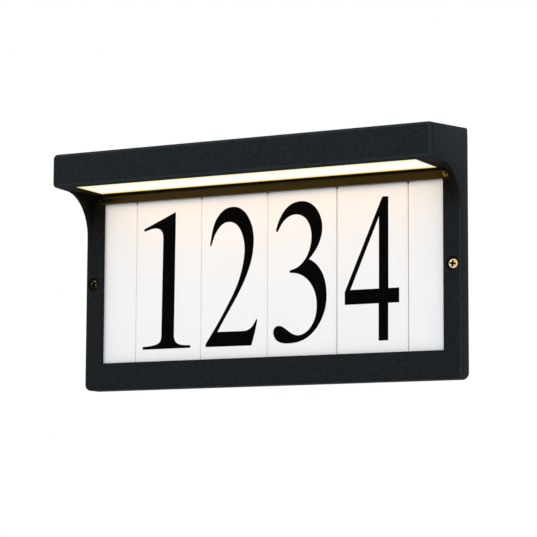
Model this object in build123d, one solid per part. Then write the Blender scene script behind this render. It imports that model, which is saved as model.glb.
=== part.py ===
from build123d import *
import math
import os

# Lighted house number sign: a die-cast frame with a light hood along its top. Loose ceramic
# tiles stand in a groove behind the window, a bar under the hood keeps them in, and the whole
# front hangs on a wall plate by two screws. Millimetres. X runs to the viewer's right, Y into
# the wall, Z up. The origin lies on the wall, midway between the two box screws of the plate.

# Tiles and window
tile_pitch = 54.0
number_tiles = 4
end_tile_show = 27.25
tile_thickness = 4.0
tile_joint = 0.3
tile_corner = 2.5
tile_edge = 0.8
pad_thickness = 0.6
window_height = 116.8
side_groove = 1.35
side_play = 0.3
sill_lip = 3.5
tile_rise = 0.3

# Frame and hood casting
stile_width = 13.25
sill_height = 19.7
bar_height = 6.5
lip_thickness = 4.0
floor_thickness = 1.6
wall = 2.5
hood_face_height = 24.0
hood_rise = 5.5
hood_lip = 6.0
hood_back_ledge = 4.0
cheek_thickness = 4.0
cheek_radius = 30.0
corner_radius = 4.5
edge_radius = 1.4
window_chamfer = 1.0
core_front = 2.5
rib_thickness = 1.6
divider = 3.0
draft = 1.5

# Lens, light chamber and board
lens_depth = 38.0
lens_end_inset = 1.25
lens_thickness = 2.5
lens_recess = 0.5
lens_corner = 1.0
lens_play = 0.3
lens_seat = 2.5
lens_gasket_thickness = 0.6
chamber_roof = 4.5
board_length = 256.0
board_width = 20.0
board_thickness = 1.6
led_count = 12
led_pitch = 18.0
led_size = 3.0
led_height = 0.8
board_screw_inset = 16.0
reflector_wall = 0.8
reflector_top_length = 206.0
reflector_play = 0.3
reflector_draft = 0.5
plug_block = (8.0, 6.0, 5.0)
plug_inset = 6.0

# Driver, its leads and its cover
driver_length = 110.0
driver_depth = 12.0
driver_height = 16.0
driver_x = -5.0
driver_lift = 1.0
driver_corner = 2.0
driver_ear = 8.0
driver_ear_thickness = 1.5
lead_diameter = 1.4
lead_spacing = 2.6
lead_bend = 6.0
lead_play = 0.05
lead_grommet_diameter = 6.4
lead_grommet_flange = 0.8
grommet_flange = 1.2
grommet_flange_thickness = 0.8
cover_thickness = 1.0
cover_lap = 2.5
cover_boss = 6.0
cover_boss_sink = 0.6
cover_boss_inset = 4.5
inlet_diameter = 7.0
inlet_wall = 2.5
inlet_x = -100.0

# Wall plate
plate_thickness = 1.5
plate_gap = 2.3
plate_width = 278.0
plate_height = 108.0
plate_corner = 6.0
plate_flange = 2.0
plate_tongue_height = 18.0
plate_tongue_margin = 0.2
lead_notch = 16.0
box_screw_spacing = 88.9
box_slot_length = 12.0
box_slot_width = 4.6
surface_spacing = 200.0
surface_hole = 4.8
wire_bore = 10.0
wire_grommet_wall = 2.0
ground_x = 30.0
ground_z = -28.0
gasket_thickness = 1.0
gasket_inset = 0.3

# Screws
face_screw_inset = 6.2
face_screw_head = 7.8
face_screw_head_height = 2.2
face_screw_shank = 4.0
face_screw_length = 9.3
face_bore_play = 0.25
counterbore = 9.6
counterbore_depth = 3.5
washer_diameter = 9.0
washer_thickness = 0.8
washer_play = 0.05
boss_floor = 2.0
boss_wall = 2.6
standoff_diameter = 7.0
standoff_play = 0.2
standoff_spigot = 5.6
thread_play = 0.03
small_head = 5.2
small_head_height = 1.9
small_shank = 3.0
small_screw_length = 5.0
bar_screw_inset = 3.0
bar_leaf = 2.0
bar_flange = 2.0
bar_end_play = 0.9
bar_tile_play = 0.3
ground_head = 6.4
ground_head_height = 1.8
ground_shank = 4.0

# Shape of a pan head and its cross, as shares of the head's diameter and height
head_rim = 0.5
crown_width = 0.58
cross_length = 0.52
cross_width = 0.13
cross_depth = 0.55

# Flats on hidden screws, their holes, the rubber bushes and the leads
hex_sides = 6
screw_sides = 12
bush_sides = 24
lead_sides = 6

# Places worked out from the sizes above
window_width = number_tiles * tile_pitch + 2 * end_tile_show
half_window = window_width / 2
sign_width = window_width + 2 * stile_width
half_width = sign_width / 2
sill_top = -window_height / 2
window_top = window_height / 2
base = sill_top - sill_height
underside = window_top + bar_height
face_top = underside + hood_face_height

casting_back = -(plate_thickness + plate_gap)
floor_front = casting_back - floor_thickness
tile_back = floor_front - pad_thickness
tile_face = tile_back - tile_thickness
frame_face = tile_face - lip_thickness
lens_back = frame_face - hood_back_ledge
lens_front = lens_back - lens_depth
hood_face = lens_front - hood_lip
rim_back = -gasket_thickness

pocket_half = half_window + side_groove
pocket_bottom = sill_top - sill_lip
tile_height = window_top + tile_rise - pocket_bottom
lens_half = half_window - lens_end_inset
lens_bottom = underside + lens_recess
lens_top = lens_bottom + lens_thickness
seat_height = lens_top + lens_gasket_thickness
chamber_half = lens_half - lens_seat
chamber_front = lens_front + lens_seat
chamber_back = lens_back - lens_seat
chamber_top = face_top - chamber_roof
room_front = chamber_back + divider
room_floor = underside + wall
board_bottom = chamber_top - board_thickness
board_y = (chamber_front + chamber_back) / 2
plug_x = board_length / 2 - plug_inset
lead_y = room_front + driver_depth / 2
lead_z = board_bottom - plug_block[2] / 2
lead_flange_top = lead_z + lead_grommet_diameter / 2 + lead_grommet_flange
lead_wall_lean = (lead_flange_top - seat_height) * math.tan(math.radians(draft))
lead_wall_front = chamber_back - lead_wall_lean
room_step_back = lens_back + lens_play + wall
room_step_height = seat_height + wall
driver_bottom = room_step_height + driver_lift
driver_middle = driver_bottom + driver_height / 2
cover_bottom = room_floor - cover_lap / 2
cover_half = chamber_half + cover_lap
face_screw_x = half_window + stile_width - face_screw_inset
washer_seat = frame_face + counterbore_depth
boss_back = washer_seat + boss_floor
bar_screw_x = half_window + bar_screw_inset
bar_screw_z = (window_top + underside) / 2
bar_half = half_width - cheek_thickness - bar_end_play


def roof(y):
    """Height of the hood's sloping top at depth y."""
    return face_top + hood_rise * (y - hood_face) / -hood_face


def block(x0, x1, y0, y1, z0, z1):
    centre = Pos((x0 + x1) / 2, (y0 + y1) / 2, (z0 + z1) / 2)
    return centre * Box(abs(x1 - x0), abs(y1 - y0), abs(z1 - z0))


def side_prism(points, x0, x1):
    """A side profile of (y, z) points, drawn out along X."""
    profile = make_face(Polyline(*points, close=True))
    return extrude(Plane.YZ.offset(x0) * profile, x1 - x0)


def rod(diameter, x, z, y0, y1):
    """A round bar along Y."""
    turned = Pos(x, (y0 + y1) / 2, z) * Rot(90, 0, 0)
    return turned * Cylinder(diameter / 2, abs(y1 - y0))


def both_sides(shape):
    return shape + mirror(shape, Plane.YZ)


def flat_sided_rod(diameter, sides, x, z, y0, y1):
    """A bar along Y with flats, its corners on the given diameter."""
    section = Plane.XZ.offset(-max(y0, y1)) * Pos(x, z) * RegularPolygon(diameter / 2, sides)
    return extrude(section, abs(y1 - y0))


def screw_hole(x, z, y0, y1):
    """Hole along Y for a small screw, its flats clear of the shank."""
    corner = (small_shank + 2 * thread_play) / math.cos(math.pi / screw_sides)
    return flat_sided_rod(corner, screw_sides, x, z, y0, y1)


def pan_head(head, head_height):
    """Pan head with a cross recess, along Z: its seat at 0, its crown down."""
    points = [
        (0, 0),
        (head / 2, 0),
        (head / 2, -head_height * head_rim),
        (head / 2 * crown_width, -head_height),
        (0, -head_height),
    ]
    dome = revolve(Plane.XZ * make_face(Polyline(*points, close=True)), Axis.Z)
    arm = head * cross_length
    slot = head * cross_width
    deep = 2 * head_height * cross_depth
    return dome - Pos(0, 0, -head_height) * (Box(arm, slot, deep) + Box(slot, arm, deep))


def from_front(x, y, z):
    """Place of a screw driven towards the wall, its head seated at depth y."""
    return Pos(x, y, z) * Rot(-90, 0, 0)


def hex_screw(head, head_height, shank, length):
    """Hex-head screw along Z: the head's seat at 0, its top down, its shank up."""
    top = extrude(Pos(0, 0, -head_height) * RegularPolygon(head / 2, hex_sides), head_height)
    return top + extrude(RegularPolygon(shank / 2, screw_sides), length)


def small_screw(head_height=small_head_height):
    return hex_screw(small_head, head_height, small_shank, small_screw_length)


def lens_sized(grow, z0, z1):
    """A block of the lens's plan, grown on every side."""
    return block(-lens_half - grow, lens_half + grow, lens_front - grow, lens_back + grow, z0, z1)


# Housing: one casting. Its outside is an L profile with a hood that falls towards the front.
def housing_outside():
    profile = [
        (rim_back, base),
        (frame_face, base),
        (frame_face, underside),
        (hood_face, underside),
        (hood_face, face_top),
        (rim_back, roof(rim_back)),
    ]
    body = side_prism(profile, -half_width, half_width)

    # each cheek fills the corner under the hood's end with a hollow quarter round
    corner = (frame_face, underside)
    foot = (frame_face, underside - cheek_radius)
    toe = (frame_face - cheek_radius, underside)
    bulge = cheek_radius * (1 - math.sqrt(0.5))
    hollow = ThreePointArc(foot, (frame_face - bulge, underside - bulge), toe)
    cheek_profile = make_face(hollow + Line(toe, corner) + Line(corner, foot))
    inner = half_width - cheek_thickness
    body += both_sides(extrude(Plane.YZ.offset(inner) * cheek_profile, cheek_thickness))

    outer = body.edges().filter_by(lambda e: abs(abs(e.center().X) - half_width) < 0.01)
    bottom_corners = outer.filter_by(lambda e: abs(e.center().Z - base) < 0.01)
    top_corners = outer.filter_by(
        lambda e: e.center().Z > face_top and abs(e.tangent_at(0.5).Y) > 0.9
    )
    body = fillet(bottom_corners + top_corners, corner_radius)

    def on_front_outline(e):
        c = e.center()
        at_side = abs(abs(c.X) - half_width) < 0.01
        upright = at_side and c.Y < rim_back - 1
        on_face = abs(c.Y - hood_face) < 0.01
        on_sill = abs(c.Y - frame_face) < 0.01 and c.Z < base + corner_radius
        flat_run = abs(e.tangent_at(0.5).Y) > 0.9 and c.Z > underside + 1
        return (upright and not flat_run) or on_face or on_sill

    rounded = body.edges().filter_by(on_front_outline)
    rounded = rounded.filter_by(lambda e: not starts_on_back(e))
    return fillet(rounded, edge_radius)


def starts_on_back(e):
    """True for an edge that runs along or into the casting's rear rim."""
    return max(e.position_at(0).Y, e.position_at(1).Y) > rim_back - 0.01


def back_recess():
    """The room behind the casting, inside its rim, for the wall plate and the cover."""
    points = [
        (casting_back, base + wall),
        (rim_back, base + wall),
        (rim_back, roof(rim_back) - wall),
        (casting_back, roof(casting_back) - wall),
    ]
    return side_prism(points, -half_width + wall, half_width - wall)


def end_pocket():
    """Core that hollows one end of the hood from behind."""
    points = [
        (hood_face + wall, room_floor),
        (casting_back, room_floor),
        (casting_back, roof(casting_back) - wall),
        (hood_face + wall, roof(hood_face + wall) - wall),
    ]
    return side_prism(points, chamber_half + divider, half_width - wall)


def driver_room():
    """The stepped room behind the light chamber, open to the back."""
    points = [
        (room_front, room_step_height),
        (room_step_back, room_step_height),
        (room_step_back, room_floor),
        (casting_back, room_floor),
        (casting_back, roof(casting_back) - wall),
        (room_front, roof(room_front) - wall),
    ]
    return side_prism(points, -chamber_half, chamber_half)


def cover_boss_places():
    low = room_floor + cover_boss / 2 - cover_boss_sink
    high = roof(room_front) - wall - cover_boss / 2 + cover_boss_sink
    across = chamber_half - cover_boss_inset
    return [(x, z) for x in (-across, across) for z in (low, high)]


def stile_core():
    """Core in one stile, open to the back and broken by the boss of the face screw."""
    x0 = pocket_half + divider / 2
    x1 = half_width - wall
    reach = window_top - wall
    core = block(x0, x1, frame_face + core_front, casting_back, -reach, reach)
    boss = counterbore + 2 * boss_wall
    return core - rod(boss, face_screw_x, 0, frame_face, casting_back)


def sill_cores():
    """Cores in the bottom rail, with a rib under each joint between tiles."""
    z0 = base + wall
    z1 = pocket_bottom - wall
    core = block(-pocket_half, pocket_half, frame_face + core_front, casting_back, z0, z1)
    for k in range(number_tiles + 1):
        x = (k - number_tiles / 2) * tile_pitch
        core -= block(x - rib_thickness / 2, x + rib_thickness / 2, frame_face, casting_back, z0, z1)
    return core


def cut_window(body):
    """Opens the window over the tiles and bevels its front edge on three sides."""
    body -= block(-half_window, half_window, frame_face, tile_face, sill_top, underside)

    def on_front_edge(e):
        c = e.center()
        on_side = abs(abs(c.X) - half_window) < 0.01 and abs(c.Z) < window_top
        on_sill = abs(c.Z - sill_top) < 0.01
        return abs(c.Y - frame_face) < 0.01 and (on_side or on_sill)

    return chamfer(body.edges().filter_by(on_front_edge), window_chamfer)


def bar_rebate():
    """The shallow seat in both stiles that takes the ends of the tile bar."""
    ends = bar_half + bar_end_play
    return block(-ends, ends, frame_face, frame_face + bar_leaf, window_top, underside)


def face_screw_cuts():
    """Counterbore, clearance hole and standoff socket of the right-hand face screw."""
    hole = face_screw_shank + 2 * face_bore_play
    socket = (standoff_diameter + 2 * standoff_play) / math.cos(math.pi / screw_sides)
    cuts = rod(counterbore, face_screw_x, 0, frame_face, washer_seat)
    cuts += rod(hole, face_screw_x, 0, washer_seat, boss_back)
    cuts += flat_sided_rod(socket, screw_sides, face_screw_x, 0, boss_back, casting_back)
    return cuts


def bar_screw_hole():
    return screw_hole(bar_screw_x, bar_screw_z, frame_face, frame_face + small_screw_length)


def make_housing():
    body = housing_outside()
    body -= back_recess()
    body = cut_window(body)
    body -= block(-pocket_half, pocket_half, tile_face, floor_front, pocket_bottom, underside)
    body -= bar_rebate()
    body -= sill_cores()
    body -= both_sides(stile_core())
    body -= both_sides(end_pocket())
    body -= lens_sized(lens_play, underside, seat_height)

    foot = Rectangle(2 * chamber_half, chamber_back - chamber_front)
    body -= extrude(Pos(0, board_y, seat_height) * foot, chamber_top - seat_height, taper=draft)

    room = driver_room()
    for x, z in cover_boss_places():
        room -= flat_sided_rod(cover_boss, screw_sides, x, z, room_front, casting_back)
    body -= room
    for x, z in cover_boss_places():
        body -= screw_hole(x, z, casting_back - small_screw_length, casting_back)

    body -= both_sides(face_screw_cuts())
    body -= both_sides(bar_screw_hole())
    body -= bush_rod(lead_grommet_diameter, plug_x, lead_z, lead_wall_front - wall, room_front)
    for x in board_screw_places():
        body -= screw_hole_up(x, board_y, chamber_top, board_bottom + small_screw_length)
    tip = room_front - small_screw_length + driver_ear_thickness
    for x in driver_screw_places():
        body -= screw_hole(x, driver_middle, tip, room_front)
    return body


def screw_hole_up(x, y, z0, z1):
    section = Pos(x, y, z0) * RegularPolygon(small_shank / 2 + thread_play, screw_sides)
    return extrude(section, z1 - z0)


# Tiles: fired ceramic, with soft front edges and rounded corners.
def make_tile(x0, x1):
    place = Pos((x0 + x1) / 2, pocket_bottom + tile_height / 2)
    outline = place * RectangleRounded(x1 - x0, tile_height, tile_corner)
    body = extrude(Plane.XZ.offset(-tile_back) * outline, tile_thickness)
    face = body.faces().sort_by(Axis.Y)[0]
    return chamfer(face.edges(), tile_edge)


def tile_spans():
    """Left and right edge of every tile, from left to right."""
    end = pocket_half - side_play
    joints = [(k - number_tiles / 2) * tile_pitch for k in range(number_tiles + 1)]
    edges = [-end - tile_joint / 2] + joints + [end + tile_joint / 2]
    return [(a + tile_joint / 2, b - tile_joint / 2) for a, b in zip(edges, edges[1:])]


def make_tile_pad():
    """Thin foam sheet between the tiles and the floor of their pocket."""
    return block(-half_window, half_window, tile_back, floor_front, sill_top, window_top)


# Bar that closes the top of the window: an angle, its flange cut back at the stiles.
def make_tile_bar():
    leaf = block(-bar_half, bar_half, frame_face, frame_face + bar_leaf, window_top, underside)
    leaf = chamfer(leaf.edges().filter_by(Axis.Y), bar_leaf / 2)
    back = tile_face - bar_tile_play
    flange_end = half_window - bar_tile_play
    flange = block(-flange_end, flange_end, frame_face, back, window_top, window_top + bar_flange)
    bar = leaf + flange
    return bar - both_sides(bar_screw_hole())


def make_bar_screws():
    shank = extrude(RegularPolygon(small_shank / 2, screw_sides), small_screw_length)
    screw = pan_head(small_head, small_head_height) + shank
    return [from_front(x, frame_face, bar_screw_z) * screw for x in (-bar_screw_x, bar_screw_x)]


# Light: lens, its bed, board, packages, reflector.
def make_lens():
    body = lens_sized(0, lens_bottom, lens_top)
    return chamfer(body.edges().filter_by(Axis.Z), lens_corner)


def make_lens_gasket():
    ring = lens_sized(0, lens_top, seat_height)
    return ring - block(-chamber_half, chamber_half, chamber_front, chamber_back, lens_top, seat_height)


def board_screw_places():
    between = led_pitch * 2
    outer = board_length / 2 - board_screw_inset
    return [-outer, -between, between, outer]


def make_led_board():
    half = board_length / 2
    y0 = board_y - board_width / 2
    board = block(-half, half, y0, y0 + board_width, board_bottom, chamber_top)
    for x in board_screw_places():
        board -= screw_hole_up(x, board_y, board_bottom, chamber_top)
    return board


def make_led_packages():
    packages = []
    for k in range(led_count):
        x = (k - (led_count - 1) / 2) * led_pitch
        place = Pos(x, board_y, board_bottom - led_height / 2)
        packages.append(place * Box(led_size, led_size, led_height))
    return packages


def make_board_screws():
    return [Pos(x, board_y, board_bottom) * small_screw() for x in board_screw_places()]


def make_plug_block():
    length, depth, height = plug_block
    return Pos(plug_x, board_y, board_bottom - height / 2) * Box(length, depth, height)


def reflector_shell(shrink):
    """Funnel from the board down to the edge of the lens, shrunk for its inside."""
    z0 = seat_height + reflector_play
    low_x = chamber_half - reflector_play - shrink
    low_y = (chamber_back - chamber_front) / 2 - reflector_play - reflector_draft - shrink
    high_x = reflector_top_length / 2 - shrink
    high_y = board_width / 2 - shrink
    across = [
        (board_y - low_y, z0),
        (board_y + low_y, z0),
        (board_y + high_y, board_bottom),
        (board_y - high_y, board_bottom),
    ]
    along = [(-low_x, z0), (low_x, z0), (high_x, board_bottom), (-high_x, board_bottom)]
    end_profile = Plane.XZ.offset(-chamber_back) * make_face(Polyline(*along, close=True))
    return side_prism(across, -low_x, low_x) & extrude(end_profile, chamber_back - chamber_front)


def plug_room():
    """Space round the plug that the reflector keeps clear of."""
    length, depth, height = plug_block
    along = (plug_x - length / 2 - reflector_play, plug_x + length / 2 + reflector_play)
    deep = (board_y - depth / 2 - reflector_play, board_y + depth / 2 + reflector_play)
    return block(*along, *deep, board_bottom - height - reflector_play, board_bottom)


def make_reflector():
    return reflector_shell(0) - reflector_shell(reflector_wall) - plug_room()


# Driver behind the light chamber, its leads and its cover.
def driver_screw_places():
    half = driver_length / 2 + driver_ear / 2
    return [driver_x - half, driver_x + half]


def make_driver():
    half = driver_length / 2
    z1 = driver_bottom + driver_height
    case_back = room_front + driver_depth
    case = block(driver_x - half, driver_x + half, room_front, case_back, driver_bottom, z1)
    case = chamfer(case.edges().filter_by(Axis.Y), driver_corner)
    reach = half + driver_ear
    ear_back = room_front + driver_ear_thickness
    z0 = driver_middle - driver_ear / 2
    ears = block(driver_x - reach, driver_x + reach, room_front, ear_back, z0, z0 + driver_ear)
    driver = case + ears
    for x in driver_screw_places():
        driver -= screw_hole(x, driver_middle, room_front, ear_back)
    return driver


def make_driver_screws():
    seat = room_front + driver_ear_thickness
    return [Pos(x, seat, driver_middle) * Rot(90, 0, 0) * small_screw() for x in driver_screw_places()]


def make_led_leads():
    """Two leads from the plug on the board, back through the divider and along to the driver."""
    leads = []
    start_y = board_y + plug_block[1] / 2
    end_x = driver_x + driver_length / 2
    for side in (-0.5, 0.5):
        z = lead_z + side * lead_spacing
        points = [(plug_x, start_y, z), (plug_x, lead_y, z), (end_x, lead_y, z)]
        route = FilletPolyline(*points, radius=lead_bend)
        start = Plane(origin=(plug_x, start_y, z), z_dir=(0, 1, 0))
        section = start * RegularPolygon(lead_diameter / 2, lead_sides)
        leads.append(sweep(section, path=route))
    return leads


def bush_rod(diameter, x, z, y0, y1):
    return flat_sided_rod(diameter, bush_sides, x, z, y0, y1)


def grommet(x, z, y0, y1, barrel, reach):
    """Rubber bush through a panel from y0 to y1, its flanges reaching past the barrel."""
    body = bush_rod(barrel, x, z, y0, y1)
    body += bush_rod(barrel + 2 * reach, x, z, y0 - grommet_flange_thickness, y0)
    return body + bush_rod(barrel + 2 * reach, x, z, y1, y1 + grommet_flange_thickness)


def make_lead_grommet():
    body = grommet(plug_x, lead_z, lead_wall_front, room_front, lead_grommet_diameter, lead_grommet_flange)
    front = lead_wall_front - grommet_flange_thickness
    back = room_front + grommet_flange_thickness
    bore = (lead_diameter + 2 * lead_play) / math.cos(math.pi / lead_sides)
    for side in (-0.5, 0.5):
        body -= flat_sided_rod(bore, lead_sides, plug_x, lead_z + side * lead_spacing, front, back)
    return body


def make_driver_cover():
    top = roof(casting_back) - wall - lens_play
    back = casting_back + cover_thickness
    plate = block(-cover_half, cover_half, casting_back, back, cover_bottom, top)
    for x, z in cover_boss_places():
        plate -= screw_hole(x, z, casting_back, back)
    return plate - bush_rod(inlet_diameter + 2 * inlet_wall, inlet_x, lead_z, casting_back, back)


def make_cover_screws():
    seat = casting_back + cover_thickness
    low_head = small_head_height / 2
    return [Pos(x, seat, z) * Rot(90, 0, 0) * small_screw(low_head) for x, z in cover_boss_places()]


def make_supply_inlet():
    back = casting_back + cover_thickness
    body = grommet(inlet_x, lead_z, casting_back, back, inlet_diameter + 2 * inlet_wall, grommet_flange)
    front = casting_back - grommet_flange_thickness
    return body - rod(inlet_diameter, inlet_x, lead_z, front, back + grommet_flange_thickness)


# Foam ring on the casting's rear rim.
def make_wall_gasket():
    top = roof(rim_back)
    middle = (base + top) / 2
    height = top - base
    rim = Rectangle(sign_width, height)
    outer = RectangleRounded(sign_width - 2 * gasket_inset, height - 2 * gasket_inset, corner_radius)
    inset = wall - gasket_inset
    inner = Rectangle(sign_width - 2 * inset, height - 2 * inset)
    ring = (rim & outer) - inner
    return extrude(Plane.XZ * Pos(0, middle) * ring, gasket_thickness)


# Wall plate: pressed steel with a flange along its long edges and a tongue at each end.
def make_wall_plate():
    outline = RectangleRounded(plate_width, plate_height, plate_corner)
    reach = half_width - wall - plate_tongue_margin
    outline += Rectangle(2 * reach, plate_tongue_height)
    plate = extrude(Plane.XZ * outline, plate_thickness)
    run = plate_width / 2 - plate_corner
    front = -plate_thickness - plate_flange
    for side in (-1, 1):
        edge = side * plate_height / 2
        plate += block(-run, run, front, -plate_thickness, edge, edge - side * plate_thickness)
    notch = (inlet_x - lead_notch / 2, inlet_x + lead_notch / 2)
    plate -= block(*notch, front, -plate_thickness, plate_height / 2 - plate_thickness, plate_height / 2)
    for x in (-box_screw_spacing / 2, box_screw_spacing / 2):
        slot = Pos(x, 0) * SlotOverall(box_slot_length, box_slot_width)
        plate -= extrude(Plane.XZ * slot, plate_thickness)
    for x in (-surface_spacing / 2, surface_spacing / 2):
        plate -= rod(surface_hole, x, 0, -plate_thickness, 0)
    plate -= bush_rod(wire_bore + 2 * wire_grommet_wall, 0, 0, -plate_thickness, 0)
    ground_hole = ground_shank + 2 * thread_play
    plate -= flat_sided_rod(ground_hole, screw_sides, ground_x, ground_z, -plate_thickness, 0)
    return plate - both_sides(standoff_spigot_rod())


def standoff_spigot_rod():
    """The foot of a standoff, riveted through the plate."""
    return flat_sided_rod(standoff_spigot, screw_sides, face_screw_x, 0, -plate_thickness, 0)


def make_standoffs():
    """Threaded hexagonal pillars that stand on the plate and take the face screws."""
    pillar = flat_sided_rod(standoff_diameter, hex_sides, face_screw_x, 0, boss_back, -plate_thickness)
    pillar += standoff_spigot_rod()
    pillar -= rod(face_screw_shank + 2 * thread_play, face_screw_x, 0, boss_back, 0)
    return [pillar, mirror(pillar, Plane.YZ)]


def make_wire_bush():
    """Rubber bush in the plate's wire hole, flush with the wall behind."""
    barrel = wire_bore + 2 * wire_grommet_wall
    front = -plate_thickness - grommet_flange_thickness
    body = bush_rod(barrel, 0, 0, -plate_thickness, 0)
    body += bush_rod(barrel + 2 * grommet_flange, 0, 0, front, -plate_thickness)
    return body - rod(wire_bore, 0, 0, front, 0)


def make_ground_screw():
    screw = hex_screw(ground_head, ground_head_height, ground_shank, plate_thickness)
    return from_front(ground_x, -plate_thickness, ground_z) * screw


# Face screws and the sealing washers under their heads.
def make_face_screw(side):
    shank = extrude(Circle(face_screw_shank / 2), face_screw_length)
    screw = pan_head(face_screw_head, face_screw_head_height) + shank
    return from_front(side * face_screw_x, washer_seat - washer_thickness, 0) * screw


def make_face_washer(side):
    x = side * face_screw_x
    front = washer_seat - washer_thickness
    hole = face_screw_shank + 2 * washer_play
    return bush_rod(washer_diameter, x, 0, front, washer_seat) - rod(hole, x, 0, front, washer_seat)


nodes = {
    "wall_plate": make_wall_plate(),
    "plate_standoffs": make_standoffs(),
    "wire_bush": make_wire_bush(),
    "ground_screw": make_ground_screw(),
    "housing": make_housing(),
    "wall_gasket": make_wall_gasket(),
    "tile_pad": make_tile_pad(),
    "tile_bar": make_tile_bar(),
    "tile_bar_screws": make_bar_screws(),
    "lens": make_lens(),
    "lens_gasket": make_lens_gasket(),
    "reflector": make_reflector(),
    "led_board": make_led_board(),
    "led_packages": make_led_packages(),
    "led_board_screws": make_board_screws(),
    "led_plug": make_plug_block(),
    "led_leads": make_led_leads(),
    "lead_grommet": make_lead_grommet(),
    "led_driver": make_driver(),
    "driver_screws": make_driver_screws(),
    "driver_cover": make_driver_cover(),
    "driver_cover_screws": make_cover_screws(),
    "supply_inlet": make_supply_inlet(),
    "face_screw_left": make_face_screw(-1),
    "face_screw_right": make_face_screw(1),
    "face_washer_left": make_face_washer(-1),
    "face_washer_right": make_face_washer(1),
}
tile_names = ["blank_left"] + [f"number_{k + 1}" for k in range(number_tiles)] + ["blank_right"]
for name, (x0, x1) in zip(tile_names, tile_spans()):
    nodes["tile_" + name] = make_tile(x0, x1)

os.makedirs("parts", exist_ok=True)
for name, shape in nodes.items():
    solids = shape if isinstance(shape, list) else [shape]
    pieces = [solid for item in solids for solid in item.solids()]
    export_step(pieces[0] if len(pieces) == 1 else Compound(pieces), f"parts/{name}.step")
    print(f"{name}: {len(pieces)} solid(s)")
print(f"size {sign_width:.1f} wide, {roof(0) - base:.1f} high, {-hood_face:.1f} deep")
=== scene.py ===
import bmesh
import bpy
import math
from functools import partial
from mathutils import Euler, Matrix, Vector


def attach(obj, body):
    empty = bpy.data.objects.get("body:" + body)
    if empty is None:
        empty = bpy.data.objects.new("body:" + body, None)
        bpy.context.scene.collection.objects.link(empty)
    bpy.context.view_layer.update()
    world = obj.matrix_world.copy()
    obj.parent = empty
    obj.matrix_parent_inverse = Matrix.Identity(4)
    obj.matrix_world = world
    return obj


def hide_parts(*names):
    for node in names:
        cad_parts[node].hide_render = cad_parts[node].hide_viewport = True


# Lighted house number sign: a black cast frame with a hood, white glazed tiles with printed
# numerals behind its window, and a frosted light panel under the hood. Sizes are in millimetres.

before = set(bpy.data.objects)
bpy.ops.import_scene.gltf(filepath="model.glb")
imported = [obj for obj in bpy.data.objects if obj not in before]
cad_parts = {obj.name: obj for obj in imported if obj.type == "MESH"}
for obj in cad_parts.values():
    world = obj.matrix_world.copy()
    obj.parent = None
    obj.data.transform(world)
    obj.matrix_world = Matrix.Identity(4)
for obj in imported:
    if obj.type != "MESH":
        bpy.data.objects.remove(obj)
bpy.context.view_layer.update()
mm = 0.001


def hexColour(code):
    # sRGB to linear
    channels = [int(code[i:i + 2], 16) / 255 for i in (1, 3, 5)]
    return [c / 12.92 if c <= 0.04045 else ((c + 0.055) / 1.055) ** 2.4 for c in channels] + [1.0]


def addNode(tree, kind, sockets=None, **settings):
    # a socket takes a plain value, or links: from a socket, a node's first output, or a list of them
    node = tree.nodes.new(kind)
    for name, value in settings.items():
        setattr(node, name, value)
    for name, value in (sockets or {}).items():
        sources = value if isinstance(value, list) else [value]
        if isinstance(sources[0], (bpy.types.Node, bpy.types.NodeSocket)):
            for source in sources:
                output = source.outputs[0] if isinstance(source, bpy.types.Node) else source
                tree.links.new(output, node.inputs[name])
        else:
            node.inputs[name].default_value = value
    return node


def startFinish(name, shaderValues):
    # a material, what adds nodes to it, its shader, and the coordinates to hang patterns on
    material = bpy.data.materials.new(name)
    material.use_nodes = True
    material.node_tree.nodes.clear()
    add = partial(addNode, material.node_tree)
    shader = add("ShaderNodeBsdfPrincipled", shaderValues)
    add("ShaderNodeOutputMaterial", {"Surface": shader})
    return material, add, shader, add("ShaderNodeTexCoord").outputs["Object"]


def dressSurface(add, shader, tint, reliefs, sheen=None, colourSocket="Base Color"):
    # the whole surface from its patterns: tint is (pattern, shades), sheen is (pattern, roughness
    # from and to), and each relief is (pattern, real depth in millimetres), the first one deepest
    links = shader.id_data.links
    pattern, stops = tint
    ramp = add("ShaderNodeValToRGB", {"Fac": pattern})
    for stop in stops[2:]:
        ramp.color_ramp.elements.new(stop[0])
    for element, (position, code) in zip(ramp.color_ramp.elements, stops):
        element.position = position
        element.color = hexColour(code)
    links.new(ramp.outputs["Color"], shader.inputs[colourSocket])
    if sheen:
        pattern, (low, high) = sheen
        spread = add("ShaderNodeMapRange", {"Value": pattern, "To Min": low, "To Max": high})
        links.new(spread.outputs[0], shader.inputs["Roughness"])
    target = shader
    for pattern, depth in reliefs:
        relief = add("ShaderNodeBump", {"Height": pattern, "Distance": depth * mm})
        links.new(relief.outputs[0], target.inputs["Normal"])
        target = relief


# Powder coat: sprayed black polyester, baked. A fine sand-like grain that breaks up every reflection, so
# the black stays soft and slightly blue. The real grain is about 0.3 mm; it is drawn near 1.2 mm so that
# it shows. Painted shade: the frame's face, which lies back behind the hood, is painted a deeper black,
# and a brown-black close under the hood, starting further down on the left than on the right. Painted
# shade also darkens the outer sides a little from the roof down.
powderCoatLook = {
    "grain": 1.2,
    "grainDepth": 0.06,
    "grainShare": 0.72,
    "mottle": 4.5,
    # the two brown-black stops are reached only through the painted shade under the hood
    "shades": [(0.02, "#090705"), (0.16, "#120f0a"), (0.34, "#171b1e"), (0.50, "#1d2225"),
               (0.66, "#252a2e")],
    "roughness": (0.68, 0.82),
    "specular": 0.06,
    "sheenTint": "#ffffff",
    "halfWidth": 148.3,
    # painted shade on the frame's face, from where it starts on the left and right up to full under the
    # hood
    "paintedHoodShade": {"fromLeft": 8.0, "fromRight": 36.0, "to": 54.0, "least": 0.24, "underside": 64.95,
                  "depth": -0.36},
    # painted shade on the outer sides, darker from the roof down
    "paintedSideShade": {"from": 92.0, "to": 50.0, "depth": -0.2},
}


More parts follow.
